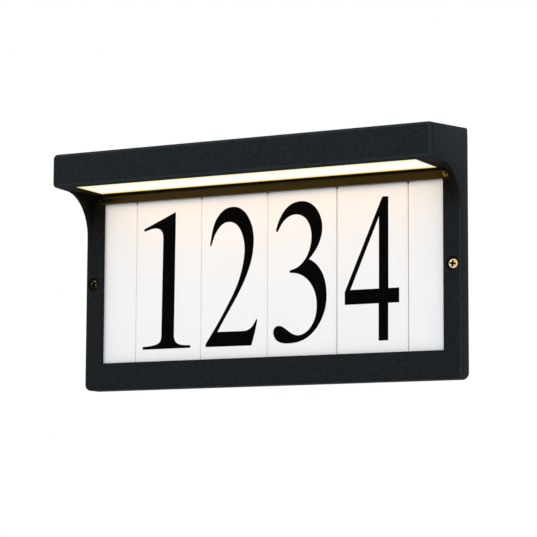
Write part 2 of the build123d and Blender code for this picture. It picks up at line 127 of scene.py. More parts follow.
def makePowderCoat(name, look):
    material, add, shader, place = startFinish(name, {
        "Specular IOR Level": look["specular"], "Specular Tint": hexColour(look["sheenTint"])})
    grain = add("ShaderNodeTexNoise", {
        "Vector": place, "Scale": 1 / (look["grain"] * mm), "Detail": 3.0, "Roughness": 0.62})
    mottle = add("ShaderNodeTexNoise", {
        "Vector": place, "Scale": 1 / (look["mottle"] * mm), "Detail": 4.0, "Roughness": 0.7})
    fine = add("ShaderNodeMath", {0: grain, 1: look["grainShare"]}, operation="MULTIPLY")
    shade = add("ShaderNodeMath", {
        0: mottle, 1: 1 - look["grainShare"], 2: fine}, operation="MULTIPLY_ADD")
    # painted shade by position: the frame's face darkens to a brown-black under the hood, and the outer
    # sides darken lower down
    hoodShade, outer, halfWidth = look["paintedHoodShade"], look["paintedSideShade"], look["halfWidth"] * mm
    spot = add("ShaderNodeSeparateXYZ", {"Vector": place})
    start = add("ShaderNodeMapRange", {
        "Value": spot.outputs["X"], "From Min": -halfWidth, "From Max": halfWidth,
        "To Min": hoodShade["fromLeft"] * mm, "To Max": hoodShade["fromRight"] * mm})
    hoodShadeRise = add("ShaderNodeMapRange", {
        "Value": spot.outputs["Z"], "From Min": start, "From Max": hoodShade["to"] * mm,
        "To Min": hoodShade["least"], "To Max": 1.0})
    sideShadeFall = add("ShaderNodeMapRange", {
        "Value": spot.outputs["Z"], "From Min": outer["from"] * mm, "From Max": outer["to"] * mm,
        "To Max": outer["depth"]})
    below = add("ShaderNodeMath", {
        0: spot.outputs["Z"], 1: hoodShade["underside"] * mm}, operation="LESS_THAN")
    across = add("ShaderNodeMath", {0: spot.outputs["X"]}, operation="ABSOLUTE")
    inside = add("ShaderNodeMath", {0: across, 1: halfWidth}, operation="LESS_THAN")
    outside = add("ShaderNodeMath", {0: across, 1: halfWidth}, operation="GREATER_THAN")
    framed = add("ShaderNodeMath", {0: below, 1: inside}, operation="MULTIPLY")
    paintedShelterShade = add("ShaderNodeMath", {0: framed, 1: hoodShadeRise}, operation="MULTIPLY")
    shade = add("ShaderNodeMath", {0: paintedShelterShade, 1: hoodShade["depth"], 2: shade}, operation="MULTIPLY_ADD")
    shade = add("ShaderNodeMath", {0: outside, 1: sideShadeFall, 2: shade}, operation="MULTIPLY_ADD")
    dressSurface(add, shader, (shade, look["shades"]), [(grain, look["grainDepth"])],
                 (mottle, look["roughness"]))
    return material


# Painted highlight: the casting's rounded edges get a lighter, greyer copy of the coat that stands in for
# the light they catch, with a little of the painted shade. The bar has a smoother coat that mirrors the
# light panel above it; its brown shades and warm-tinted sheen are painted light from the panel.
edgeHighlightLook = dict(
    powderCoatLook, shades=[(0.34, "#202528"), (0.50, "#272d30"), (0.66, "#303639")],
    paintedHoodShade=dict(powderCoatLook["paintedHoodShade"], depth=-0.08))
# painted light: the bar's brown shades and warm sheen tint stand in for the panel's glow falling on it
# and mirrored in it
barGlowLook = dict(
    powderCoatLook, shades=[(0.34, "#0c0a06"), (0.50, "#131009"), (0.66, "#1b160d")],
    paintedHoodShade=dict(powderCoatLook["paintedHoodShade"], depth=0.0), grain=1.0, grainDepth=0.02,
    roughness=(0.3, 0.4), specular=0.42, sheenTint="#ffcc58")
powderCoat = makePowderCoat("blackPowderCoat", powderCoatLook)
edgeHighlightCoat = makePowderCoat("paintedEdgeHighlight", edgeHighlightLook)
barGlowCoat = makePowderCoat("barCoatPaintedGlow", barGlowLook)


# Glazed tile: fired white earthenware under a clear glaze. Bright and cool, with a wet edge
# where the glaze rolls over, and a slow waviness some 9 mm long that bends reflections.
glazeLook = {
    "wave": 9.0,
    "waveDepth": 0.05,
    "pinhole": 0.5,
    "pinholeDepth": 0.004,
    "cloud": 26.0,
    "shades": [(0.25, "#f3f4f5"), (0.6, "#f6f7f8"), (0.9, "#f9f9fa")],
    "roughness": (0.12, 0.2),
}


def makeGlaze():
    look = glazeLook
    material, add, shader, place = startFinish("whiteTileGlaze", {
        "IOR": 1.5, "Coat Weight": 0.35, "Coat Roughness": 0.06})
    cloud = add("ShaderNodeTexNoise", {
        "Vector": place, "Scale": 1 / (look["cloud"] * mm), "Detail": 5.0, "Roughness": 0.6})
    wave = add("ShaderNodeTexNoise", {"Vector": place, "Scale": 1 / (look["wave"] * mm), "Detail": 1.5})
    pinhole = add("ShaderNodeTexVoronoi", {"Vector": place, "Scale": 1 / (look["pinhole"] * mm)})
    reliefs = [(wave, look["waveDepth"]), (pinhole, look["pinholeDepth"])]
    dressSurface(add, shader, (cloud, look["shades"]), reliefs, (cloud, look["roughness"]))
    return material


tileGlaze = makeGlaze()


def makeClouded(name, look):
    # a slow cloudiness in colour and sheen, over fine cells or a printed mesh
    cloudSize, cloudDetail = look["cloud"]
    material, add, shader, place = startFinish(name, {"Specular IOR Level": look["specular"]})
    cloud = add("ShaderNodeTexNoise", {
        "Vector": place, "Scale": 1 / (cloudSize * mm), "Detail": cloudDetail})
    cell = add("ShaderNodeTexVoronoi", {"Vector": place, "Scale": 1 / (look["cell"] * mm)})
    dressSurface(add, shader, (cloud, look["shades"]), [(cell, look["cellDepth"])],
                 (cloud, look["roughness"]))
    return material


# Numeral print: black ceramic ink screened on the glaze and fired. Flat, dense, barely satin,
# with the faint mesh of the screen, really 0.1 mm and drawn at 0.6 mm.
printLook = {
    "cell": 0.6,
    "cellDepth": 0.006,
    "cloud": (6.0, 3.0),
    "shades": [(0.3, "#040404"), (0.7, "#080808")],
    "roughness": (0.6, 0.7),
    "specular": 0.01,
}
numeralInk = makeClouded("firedBlackInk", printLook)


# Light panel: opal acrylic, etched on the outside, lit from behind. It glows white across, and
# amber in the few millimetres round its edge, where the light has come furthest.
panelLook = {
    "front": -56.0,
    "back": -18.0,
    "left": -133.0,
    "right": 134.3,
    "rim": 9.0,
    "endSharpness": 2.6,
    "glow": [(0.0, "#6a4a12"), (0.05, "#eab020"), (0.22, "#ffe05c"), (0.40, "#fff2b8"),
             (0.70, "#fff9e4"), (1.0, "#fffdf8")],
    "strength": 1.0,
    "shades": [(0.3, "#2b2a26"), (0.7, "#34332e")],
    "etch": 0.5,
    "etchDepth": 0.01,
}


def makeLightPanel():
    look = panelLook
    material, add, shader, place = startFinish("litOpalAcrylic", {
        "IOR": 1.49, "Roughness": 0.6, "Specular IOR Level": 0.02, "Emission Strength": look["strength"]})
    spot = add("ShaderNodeSeparateXYZ", {"Vector": place})
    middle, half = (look["front"] + look["back"]) / 2, (look["back"] - look["front"]) / 2
    across = add("ShaderNodeMath", {0: spot.outputs["Y"], 1: middle * mm}, operation="SUBTRACT")
    across = add("ShaderNodeMath", {0: across}, operation="ABSOLUTE")
    fromSide = add("ShaderNodeMath", {0: half * mm, 1: across}, operation="SUBTRACT")
    fromLeft = add("ShaderNodeMath", {0: spot.outputs["X"], 1: look["left"] * mm}, operation="SUBTRACT")
    fromRight = add("ShaderNodeMath", {0: look["right"] * mm, 1: spot.outputs["X"]}, operation="SUBTRACT")
    fromEnd = add("ShaderNodeMath", {0: fromLeft, 1: fromRight}, operation="MINIMUM")
    fromEnd = add("ShaderNodeMath", {0: fromEnd, 1: look["endSharpness"]}, operation="MULTIPLY")
    nearest = add("ShaderNodeMath", {0: fromSide, 1: fromEnd}, operation="MINIMUM")
    share = add("ShaderNodeMapRange", {"Value": nearest, "From Max": look["rim"] * mm})
    etch = add("ShaderNodeTexNoise", {"Vector": place, "Scale": 1 / (look["etch"] * mm), "Detail": 2.0})
    dressSurface(add, shader, (share, look["glow"]), [], colourSocket="Emission Color")
    dressSurface(add, shader, (etch, look["shades"]), [(etch, look["etchDepth"])])
    return material


lightPanel = makeLightPanel()


# Metals. Brass screws are turned and lacquered, so bright and warm. Darker copies of the brass are
# painted shade: dark brown to near black for the left face screw (painted shade and dark reflection) and
# the bar screws, which sit in shadow, and near black for the recesses of the crosses. Steel is zinc
# plated, either with the grey spangle of sheet or the finer sheen of small plated parts.
metalPatchShare = 0.4  # how much of a metal's colour goes by its patches, the rest by its clouds
metalLooks = {
    "lacqueredBrass": {"shades": [(0.3, "#f0c66e"), (0.7, "#fff2bc")], "roughness": (0.14, 0.24),
                       "grain": 2.6, "lines": 0.25, "lineDepth": 0.003},
    # painted shade and dark reflection: a dark copy of the brass for the left face screw
    "faceScrewShadeBrass": {"shades": [(0.36, "#100e08"), (0.56, "#39331f"), (0.72, "#7d6f45")],
                       "roughness": (0.3, 0.5), "grain": 1.6, "lines": 0.4, "lineDepth": 0.02},
    # painted shade: near-black metal for the inside of the cross recesses
    "recessShade": {"shades": [(0.3, "#060503"), (0.7, "#141009")], "roughness": (0.5, 0.65),
                    "grain": 0.8, "lines": 0.3, "lineDepth": 0.01},
    # painted shade: dark copies of the brass for the bar screws under the hood, one deeper than the other
    "halfShadeBrass": {"shades": [(0.3, "#5e4724"), (0.5, "#8a6c3a"), (0.7, "#b39255")],
                    "roughness": (0.3, 0.45), "grain": 1.2, "lines": 0.3, "lineDepth": 0.01},
    "deepShadeBrass": {"shades": [(0.3, "#0e0b06"), (0.5, "#1a1409"), (0.7, "#2c2211")],
                     "roughness": (0.35, 0.5), "grain": 1.2, "lines": 0.3, "lineDepth": 0.01},
    "zincPlatedSheet": {"shades": [(0.3, "#a3a8ab"), (0.5, "#b5babc"), (0.7, "#c6cacb")],
                        "roughness": (0.3, 0.48), "grain": 7.0, "lines": 0.8, "lineDepth": 0.006},
    "zincPlatedPillar": {"shades": [(0.3, "#aeb0ad"), (0.7, "#c4c5c0")], "roughness": (0.28, 0.4),
                         "grain": 2.5, "lines": 0.3, "lineDepth": 0.006},
    "zincPlatedScrew": {"shades": [(0.3, "#9fa6aa"), (0.7, "#bcc3c6")], "roughness": (0.25, 0.38),
                        "grain": 1.5, "lines": 0.25, "lineDepth": 0.005},
    "greenGroundScrew": {"shades": [(0.3, "#1e6a3a"), (0.7, "#2c8a4d")], "roughness": (0.3, 0.42),
                         "grain": 1.5, "lines": 0.25, "lineDepth": 0.005},
    "galvanisedCover": {"shades": [(0.3, "#9a9fa1"), (0.5, "#adb1b2"), (0.7, "#bfc3c3")],
                        "roughness": (0.34, 0.5), "grain": 9.0, "lines": 0.9, "lineDepth": 0.006},
}


def makeMetal(name):
    look = metalLooks[name]
    material, add, shader, place = startFinish(name, {"Metallic": 1.0})
    patch = add("ShaderNodeTexVoronoi", {"Vector": place, "Scale": 1 / (look["grain"] * mm)})
    cloud = add("ShaderNodeTexNoise", {
        "Vector": place, "Scale": 1 / (look["grain"] * mm), "Detail": 4.0, "Roughness": 0.6})
    grey = add("ShaderNodeSeparateColor", {"Color": patch.outputs["Color"]})
    patches = add("ShaderNodeMath", {0: grey.outputs["Red"], 1: metalPatchShare}, operation="MULTIPLY")
    blend = add("ShaderNodeMath", {
        0: cloud, 1: 1 - metalPatchShare, 2: patches}, operation="MULTIPLY_ADD")
    lines = add("ShaderNodeTexNoise", {"Vector": place, "Scale": 1 / (look["lines"] * mm), "Detail": 2.0})
    dressSurface(add, shader, (blend, look["shades"]), [(lines, look["lineDepth"])],
                 (cloud, look["roughness"]))
    return material


metals = {name: makeMetal(name) for name in metalLooks}


# Rubbers, foams and plastics, and the tiles' bare fired clay, each with the cell, moulding grain
# or pores it shows close up, under a slow cloudiness.
softCloud = (5.0, 5.0)
softLooks = {
    "blackRubber": {"shades": [(0.3, "#141414"), (0.7, "#1f1f1e")], "roughness": (0.6, 0.75),
                    "cell": 0.6, "cellDepth": 0.02, "specular": 0.3},
    "closedCellFoam": {"shades": [(0.3, "#1b1c1d"), (0.7, "#2a2b2c")], "roughness": (0.85, 0.95),
                       "cell": 0.5, "cellDepth": 0.09, "specular": 0.2},
    "whiteFoamSheet": {"shades": [(0.3, "#dcdcd6"), (0.7, "#ebebe6")], "roughness": (0.8, 0.9),
                       "cell": 0.6, "cellDepth": 0.06, "specular": 0.25},
    "formedWhiteReflector": {"shades": [(0.3, "#eeeeec"), (0.7, "#f7f7f5")], "roughness": (0.5, 0.6),
                             "cell": 0.7, "cellDepth": 0.008, "specular": 0.4},
    "whiteNylon": {"shades": [(0.3, "#e6e2d6"), (0.7, "#f0ece2")], "roughness": (0.4, 0.5),
                   "cell": 0.5, "cellDepth": 0.01, "specular": 0.45},
    "leadSleeve": {"shades": [(0.3, "#a81f1c"), (0.7, "#c02a26")], "roughness": (0.4, 0.5),
                   "cell": 0.4, "cellDepth": 0.006, "specular": 0.45},
    "pottedDriverCase": {"shades": [(0.3, "#dfe0df"), (0.7, "#eceded")], "roughness": (0.5, 0.62),
                         "cell": 0.5, "cellDepth": 0.02, "specular": 0.4},
    "maskedBoard": {"shades": [(0.3, "#e9ebe7"), (0.7, "#f2f3ef")], "roughness": (0.35, 0.45),
                    "cell": 1.4, "cellDepth": 0.012, "specular": 0.5},
    "unglazedBisque": {"shades": [(0.3, "#ecc47e"), (0.7, "#f6d898")], "roughness": (0.8, 0.9),
                       "cell": 0.5, "cellDepth": 0.02, "specular": 0.2},
}


softs = {name: makeClouded(name, dict(look, cloud=softCloud)) for name, look in softLooks.items()}


# Light package: yellow phosphor in clear silicone, dusty and matt, lit from below.
phosphorLook = {"dust": 0.3, "dustDepth": 0.02, "glow": "#ffe9a8", "strength": 1.2,
                "shades": [(0.3, "#d8b84a"), (0.7, "#ecd36a")]}


def makePhosphor():
    look = phosphorLook
    material, add, shader, place = startFinish("litPhosphor", {
        "Roughness": 0.5, "Emission Color": hexColour(look["glow"]),
        "Emission Strength": look["strength"]})
    dust = add("ShaderNodeTexNoise", {"Vector": place, "Scale": 1 / (look["dust"] * mm), "Detail": 3.0})
    dressSurface(add, shader, (dust, look["shades"]), [(dust, look["dustDepth"])])
    return material


phosphor = makePhosphor()
print("finishes ready:", len(bpy.data.materials))


def newObject(name, data):
    thing = bpy.data.objects.new(name, data)
    bpy.context.scene.collection.objects.link(thing)
    return thing


def shownPiece(name, mesh, body, node=None):
    piece = newObject(name, mesh)
    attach(piece, body)
    if node:
        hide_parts(node)


shellWeld = 0.001  # points nearer than this become one


def cleanShell(mesh, sharpAngle=35):
    # merged, outward and smooth except at real corners
    shell = bmesh.new()
    shell.from_mesh(mesh)
    bmesh.ops.remove_doubles(shell, verts=shell.verts, dist=shellWeld * mm)
    bmesh.ops.recalc_face_normals(shell, faces=shell.faces)
    shell.to_mesh(mesh)
    shell.free()
    mesh.shade_smooth()
    mesh.set_sharp_from_angle(angle=math.radians(sharpAngle))
    return mesh


def inMetres(points):
    return [[c * mm for c in point] for point in points]


def meshFrom(name, points, faces, finish):
    mesh = bpy.data.meshes.new(name)
    mesh.from_pydata(inMetres(points), [], faces)
    mesh.materials.append(finish)
    return mesh


def evaluated(holder):
    # the finished mesh of an object with live modifiers, less the empty slots that trees leave; the
    # object itself then goes
    graph = bpy.context.evaluated_depsgraph_get()
    mesh = bpy.data.meshes.new_from_object(holder.evaluated_get(graph))
    bpy.data.objects.remove(holder)
    for slot in reversed(range(len(mesh.materials))):
        if mesh.materials[slot] is None:
            mesh.materials.pop(index=slot)
    return mesh


castForm = {"mergeWithin": 0.002, "flatWithin": 0.5, "sharpAngle": 35}  # millimetres, degrees


def softenedCopy(node, finish, edge):
    # the cast or pressed shape of a CAD piece with its sharp edges just broken
    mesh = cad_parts[node].data.copy()
    mesh.attributes.remove(mesh.attributes["custom_normal"])
    mesh.materials.clear()
    mesh.materials.append(finish)
    shell = bmesh.new()
    shell.from_mesh(mesh)
    bmesh.ops.remove_doubles(shell, verts=shell.verts, dist=castForm["mergeWithin"] * mm)
    bmesh.ops.dissolve_limit(shell, angle_limit=math.radians(castForm["flatWithin"]),
                             verts=shell.verts, edges=shell.edges)
    shell.to_mesh(mesh)
    shell.free()
    holder = newObject(node + "Shape", mesh)
    broken = holder.modifiers.new("brokenEdges", "BEVEL")
    broken.width = edge * mm
    broken.segments = 2
    broken.angle_limit = math.radians(castForm["sharpAngle"])
    return cleanShell(evaluated(holder), castForm["sharpAngle"])


def startTree(name, inputs):
    # a geometry tree with named inputs; returns it, what adds nodes to it, and its inputs' sockets
    tree = bpy.data.node_groups.new(name, "GeometryNodeTree")
    tree.interface.new_socket("Geometry", in_out="INPUT", socket_type="NodeSocketGeometry")
    for label, kind in inputs.items():
        tree.interface.new_socket(label, in_out="INPUT", socket_type="NodeSocket" + kind)
    tree.interface.new_socket("Geometry", in_out="OUTPUT", socket_type="NodeSocketGeometry")
    return tree, partial(addNode, tree), tree.nodes.new("NodeGroupInput").outputs


def endTree(add, shape, finish, chosen=None, chosenFinish=None):
    # real geometry in one finish, with any chosen faces in another
    real = add("GeometryNodeRealizeInstances", {"Geometry": shape})
    painted = add("GeometryNodeSetMaterial", {"Geometry": real, "Material": finish})
    if chosen:
        painted = add("GeometryNodeSetMaterial", {
            "Geometry": painted, "Selection": chosen, "Material": chosenFinish})
    add("NodeGroupOutput", {"Geometry": painted})


def grown(tree, base, values, sharpAngle=35):
    # runs a tree on a base mesh with the given input values and keeps the result
    keys = {item.name: item.identifier for item in tree.interface.items_tree if item.in_out == "INPUT"}
    holder = newObject(tree.name + "Holder", base)
    modifier = holder.modifiers.new(tree.name, "NODES")
    modifier.node_group = tree
    for label, value in values.items():
        modifier[keys[label]] = value
    return cleanShell(evaluated(holder), sharpAngle)


def pathMesh(points):
    # a bare line of points for a tree to follow
    mesh = bpy.data.meshes.new("line")
    mesh.from_pydata(inMetres(points), [(i, i + 1) for i in range(len(points) - 1)], [])
    return mesh


def turned(profile, sides, ring=False):
    # a lathe-turned shell round Z; a profile that ends on the axis closes there
    points, faces, rows = [], [], []
    for radius, height in profile:
        if radius == 0:
            rows.append([len(points)])
            points.append((0, 0, height))
        else:
            rows.append([len(points) + k for k in range(sides)])
            points += [(radius * math.cos(a), radius * math.sin(a), height)
                       for a in (2 * math.pi * k / sides for k in range(sides))]
    for low, high in zip(rows, rows[1:] + ([rows[0]] if ring else [])):
        for k in range(sides):
            after = k + 1
            corners = [low[k % len(low)], low[after % len(low)],
                       high[after % len(high)], high[k % len(high)]]
            corners = list(dict.fromkeys(corners))  # two are one point where the row is on the axis
            if len(corners) > 2:
                faces.append(corners)
    return points, faces


def placed(mesh, x, y, z, turn=(0, 0, 0)):
    mesh.transform(Matrix.Translation((x * mm, y * mm, z * mm)) @ Euler(turn).to_matrix().to_4x4())
    return mesh


def joined(name, meshes):
    # several finished meshes as one, each keeping its material
    parts = [newObject("part", mesh) for mesh in meshes]
    with bpy.context.temp_override(active_object=parts[0], selected_editable_objects=parts):
        bpy.ops.object.join()
    mesh = parts[0].data
    mesh.name = name
    bpy.data.objects.remove(parts[0])
    return mesh


# The frame casting, the tile bar and the other shaped metal and rubber pieces keep their CAD form.
# On the casting, the hood's top corners are drawn in and its front rounding grows.
outlineShape = {"radius": 1.45, "halfWidth": 148.5, "hoodFace": -62.0, "face": -14.0,
                "cheekBack": -44.0, "underside": 64.9, "cheekFoot": 34.9, "faceTop": 88.9, "rise": 5.5,
                "cornerRadius": 4.5, "frontRadius": 3.4, "backRadius": 1.5, "hoodRadius": 3.1,
                "slack": 0.02, "cornerSlack": 0.06, "slant": (0.2, 0.97), "hoodSlant": 0.6,
                "highlightMargin": 1.0}
roofLean = math.cos(math.atan(outlineShape["rise"] / -outlineShape["hoodFace"]))


def hoodCorner(y):
    # the hood's height and the radius of its top corners, both at a given depth
    hood = outlineShape
    share = y / hood["hoodFace"]
    corner = hood["backRadius"] + (hood["frontRadius"] - hood["backRadius"]) * share
    return hood["faceTop"] + hood["rise"] * (1 - share), corner


def tightenCorners(mesh):
    # the hood's top corners are rounder in the CAD than in the photograph, so their arcs draw in
    hood = outlineShape
    wide = hood["cornerRadius"]
    for point in mesh.vertices:
        x, y, z = [c / mm for c in point.co]
        roof, tight = hoodCorner(y)
        across = abs(x) - (hood["halfWidth"] - wide)
        above = (z - roof) * roofLean + wide
        out = math.hypot(across, above)
        onArc = wide - hood["radius"] < out < wide + hood["cornerSlack"]
        if min(across, above) > -hood["slack"] and onArc:
            share = (tight - (wide - out)) / out
            point.co.x = math.copysign((hood["halfWidth"] - tight + across * share) * mm, x)
            point.co.z = (roof + (above * share - tight) / roofLean) * mm


def softenFront(mesh):
    # the rounding round the hood's front is wider in the photograph than in the CAD, so it grows
    # inward and back from the outline
    hood = outlineShape
    reach = hood["radius"] + hood["slack"]
    growth = hood["hoodRadius"] / hood["radius"]
    for point in mesh.vertices:
        x, y, z = [c / mm for c in point.co]
        deep = y - hood["hoodFace"]
        if deep > reach or z < hood["underside"] - hood["slack"]:
            continue
        roof, corner = hoodCorner(y)
        newRoof, newCorner = hoodCorner(hood["hoodFace"] + deep * growth)
        across, above = abs(x) - (hood["halfWidth"] - corner), (z - roof) * roofLean + corner
        fromSide, fromBelow = hood["halfWidth"] - abs(x), z - hood["underside"]
        fromTop = (roof - z) * roofLean
        if across > 0 and above > 0:
            out = math.hypot(across, above)
            if corner - out > reach:
                continue
            share = (newCorner - (corner - out) * growth) / out
            fromSide = newCorner - across * share
            z = newRoof + (above * share - newCorner) / roofLean
        elif min(fromSide, fromTop, fromBelow) < reach:
            if fromTop < reach:
                z = newRoof - fromTop * growth / roofLean
            elif fromBelow < reach:
                z = hood["underside"] + fromBelow * growth
            if fromSide < reach:
                fromSide *= growth
        else:
            continue
        point.co = (math.copysign((hood["halfWidth"] - fromSide) * mm, x),
                    (hood["hoodFace"] + deep * growth) * mm, z * mm)


def paintEdgeHighlight(mesh):
    # painted highlight: a lighter coat on the rounded edges round the front, though not round the cheeks'
    # hollows
    hood = outlineShape
    least, most = hood["slant"]
    margin = hood["highlightMargin"]
    mesh.materials.append(edgeHighlightCoat)
    for face in mesh.polygons:
        x, y, z = [c / mm for c in face.center]
        turn = face.normal
        onCheek = (hood["cheekBack"] < y < hood["face"]
                   and hood["cheekFoot"] - margin < z < hood["underside"] + margin)
        onSide = (abs(x) > hood["halfWidth"] - hood["radius"] and abs(turn.x) > least
                  and hood["cheekBack"] < y < hood["face"] + 2 * margin and not onCheek)
        onHood = y < hood["hoodFace"] + hood["hoodRadius"] and abs(turn.y) > hood["hoodSlant"]
        if least < abs(turn.y) < most and (onSide or onHood):
            face.material_index = 1


# each node with its piece's name, finish, width of broken edge, slot and body
castings = {
    "housing": ("frameCasting", powderCoat, 0.22, "powder_coat", "front"),
    "tile_bar": ("tileBar", barGlowCoat, 0.18, "bar_coat", "front"),
    "wall_plate": ("wallPlate", metals["zincPlatedSheet"], 0.2, "zinc_steel", "wall_mount"),
    "plate_standoffs": ("plateStandoffs", metals["zincPlatedPillar"], 0.2, "standoff_steel",
                        "wall_mount"),
    "led_driver": ("driverCase", softs["pottedDriverCase"], 0.35, "driver_case", "front"),
    "driver_cover": ("driverCover", metals["galvanisedCover"], 0.15, "cover_steel", "front"),
    "led_plug": ("boardPlug", softs["whiteNylon"], 0.3, "plug_white", "front"),
    "lead_grommet": ("leadGrommet", softs["blackRubber"], 0.2, "bush_rubber", "front"),
    "lens": ("lightPanel", lightPanel, 0.45, "frosted_lens", "front"),
    "led_board": ("lightBoard", softs["maskedBoard"], 0.12, "board_white", "front"),
}
for node, (pieceName, finish, edge, slotName, body) in castings.items():
    mesh = softenedCopy(node, finish, edge)
    if node == "housing":
        tightenCorners(mesh)
        softenFront(mesh)
        paintEdgeHighlight(mesh)
    shownPiece(pieceName, mesh, body, node)

plainNodes = {
    "wall_gasket": softs["closedCellFoam"],
    "tile_pad": softs["whiteFoamSheet"],
    "lens_gasket": softs["closedCellFoam"],
    "reflector": softs["formedWhiteReflector"],
}
for node, finish in plainNodes.items():
    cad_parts[node].data.materials[0] = finish
print("castings and sheet parts dressed")


# Tiles: a flat face whose glaze rolls over all round, then a straight side. The rim's section
# is swept round the flat face's outline, so its corner radius grows outward. The joints lie where
# the photograph has them, not quite evenly. The tops reach a little further up behind the bar than
# in the CAD, which hides most of their rounded corners.
tileShape = {
    "front": -10.0,
    "thickness": 4.0,
    "bottom": -61.9,
    "top": 59.6,
    "roll": 2.9,
    "rollDepth": 0.8,
    "rollSteps": 10,
    "glazeBelowRoll": 0.3,
    "weld": 0.004,
    "rearWeld": 0.2,
    "innerCorner": 0.15,
    "halfRow": 136.3,
    "nodes": ["tile_blank_left", "tile_number_1", "tile_number_2", "tile_number_3", "tile_number_4",
              "tile_blank_right"],
    "joints": [(-108.3, 0.2), (-54.3, 0.18), (-0.7, 0.16), (53.65, 0.5), (107.95, 0.4)],  # place, width
}


def makeTileTree():
    tree, add, inputs = startTree("glazedTile", {
        "Width": "Float", "Height": "Float", "Roll": "Float", "Inner Corner": "Float",
        "Thickness": "Float", "Glazed Depth": "Float", "Weld": "Float", "Rear Weld": "Float",
        "Glaze": "Material", "Bisque": "Material"})
    rollTwice = add("ShaderNodeMath", {0: inputs["Roll"], 1: 2.0}, operation="MULTIPLY")
    flatWidth = add("ShaderNodeMath", {0: inputs["Width"], 1: rollTwice}, operation="SUBTRACT")
    flatHeight = add("ShaderNodeMath", {0: inputs["Height"], 1: rollTwice}, operation="SUBTRACT")
    rearCorner = add("ShaderNodeMath", {0: inputs["Roll"], 1: inputs["Inner Corner"]}, operation="ADD")
    outlines = []
    for width, height, radius in ((flatWidth, flatHeight, inputs["Inner Corner"]),
                                  (inputs["Width"], inputs["Height"], rearCorner)):
        square = add("GeometryNodeCurvePrimitiveQuadrilateral", {"Width": width, "Height": height})
        outlines.append(add("GeometryNodeFilletCurve", {
            "Curve": square, "Count": 7, "Radius": radius}, mode="POLY"))
    section = add("GeometryNodeMeshToCurve", {"Mesh": inputs["Geometry"]})
    rim = add("GeometryNodeCurveToMesh", {"Curve": outlines[0], "Profile Curve": section})
    face, rear = [add("GeometryNodeFillCurve", {"Curve": outline}, mode="NGONS")
                  for outline in outlines]
    drop = add("ShaderNodeCombineXYZ", {"Z": inputs["Thickness"]})
    sunk = add("GeometryNodeTransform", {"Geometry": rear, "Translation": drop})
    whole = add("GeometryNodeJoinGeometry", {"Geometry": [rim, face, sunk]})
    welded = add("GeometryNodeMergeByDistance", {"Geometry": whole, "Distance": inputs["Weld"]})
    spot = add("GeometryNodeInputPosition")
    behind = add("ShaderNodeSeparateXYZ", {"Vector": spot})
    bare = add("FunctionNodeCompare", {
        0: behind.outputs["Z"], 1: inputs["Glazed Depth"]}, operation="GREATER_THAN")
    # the swept rim's rear corners start a little off the rear face's, so that seam is welded wider
    seamed = add("GeometryNodeMergeByDistance", {
        "Geometry": welded, "Selection": bare, "Distance": inputs["Rear Weld"]})
    endTree(add, seamed, inputs["Glaze"], bare, inputs["Bisque"])
    return tree


tileTree = makeTileTree()


def tileSection():
    # outward and back from the flat face's edge: quarter ellipse, then the side
    tile = tileShape
    angles = [math.pi / 2 * k / tile["rollSteps"] for k in range(tile["rollSteps"] + 1)]
    line = [(tile["roll"] * math.sin(a), -tile["rollDepth"] * (1 - math.cos(a)), 0) for a in angles]
    for depth in (tile["rollDepth"] + tile["glazeBelowRoll"], tile["thickness"]):
        line.append((tile["roll"], -depth, 0))
    return line


def layTiles():
    tile = tileShape
    lefts = [-tile["halfRow"]] + [place + width / 2 for place, width in tile["joints"]]
    rights = [place - width / 2 for place, width in tile["joints"]] + [tile["halfRow"]]
    for node, left, right in zip(tile["nodes"], lefts, rights):
        mesh = grown(tileTree, pathMesh(tileSection()), {
            "Width": (right - left) * mm, "Height": (tile["top"] - tile["bottom"]) * mm,
            "Roll": tile["roll"] * mm, "Inner Corner": tile["innerCorner"] * mm,
            "Thickness": tile["thickness"] * mm,
            "Glazed Depth": (tile["rollDepth"] + tile["glazeBelowRoll"]) * mm, "Weld": tile["weld"] * mm,
            "Rear Weld": tile["rearWeld"] * mm, "Glaze": tileGlaze, "Bisque": softs["unglazedBisque"]},
            sharpAngle=40)
        placed(mesh, (left + right) / 2, tile["front"], (tile["top"] + tile["bottom"]) / 2,
               (-math.pi / 2, 0, 0))
        shownPiece(node.replace("_", " ").title().replace(" ", ""), mesh, "front", node)


layTiles()
print("tiles laid:", len(tileShape["nodes"]))


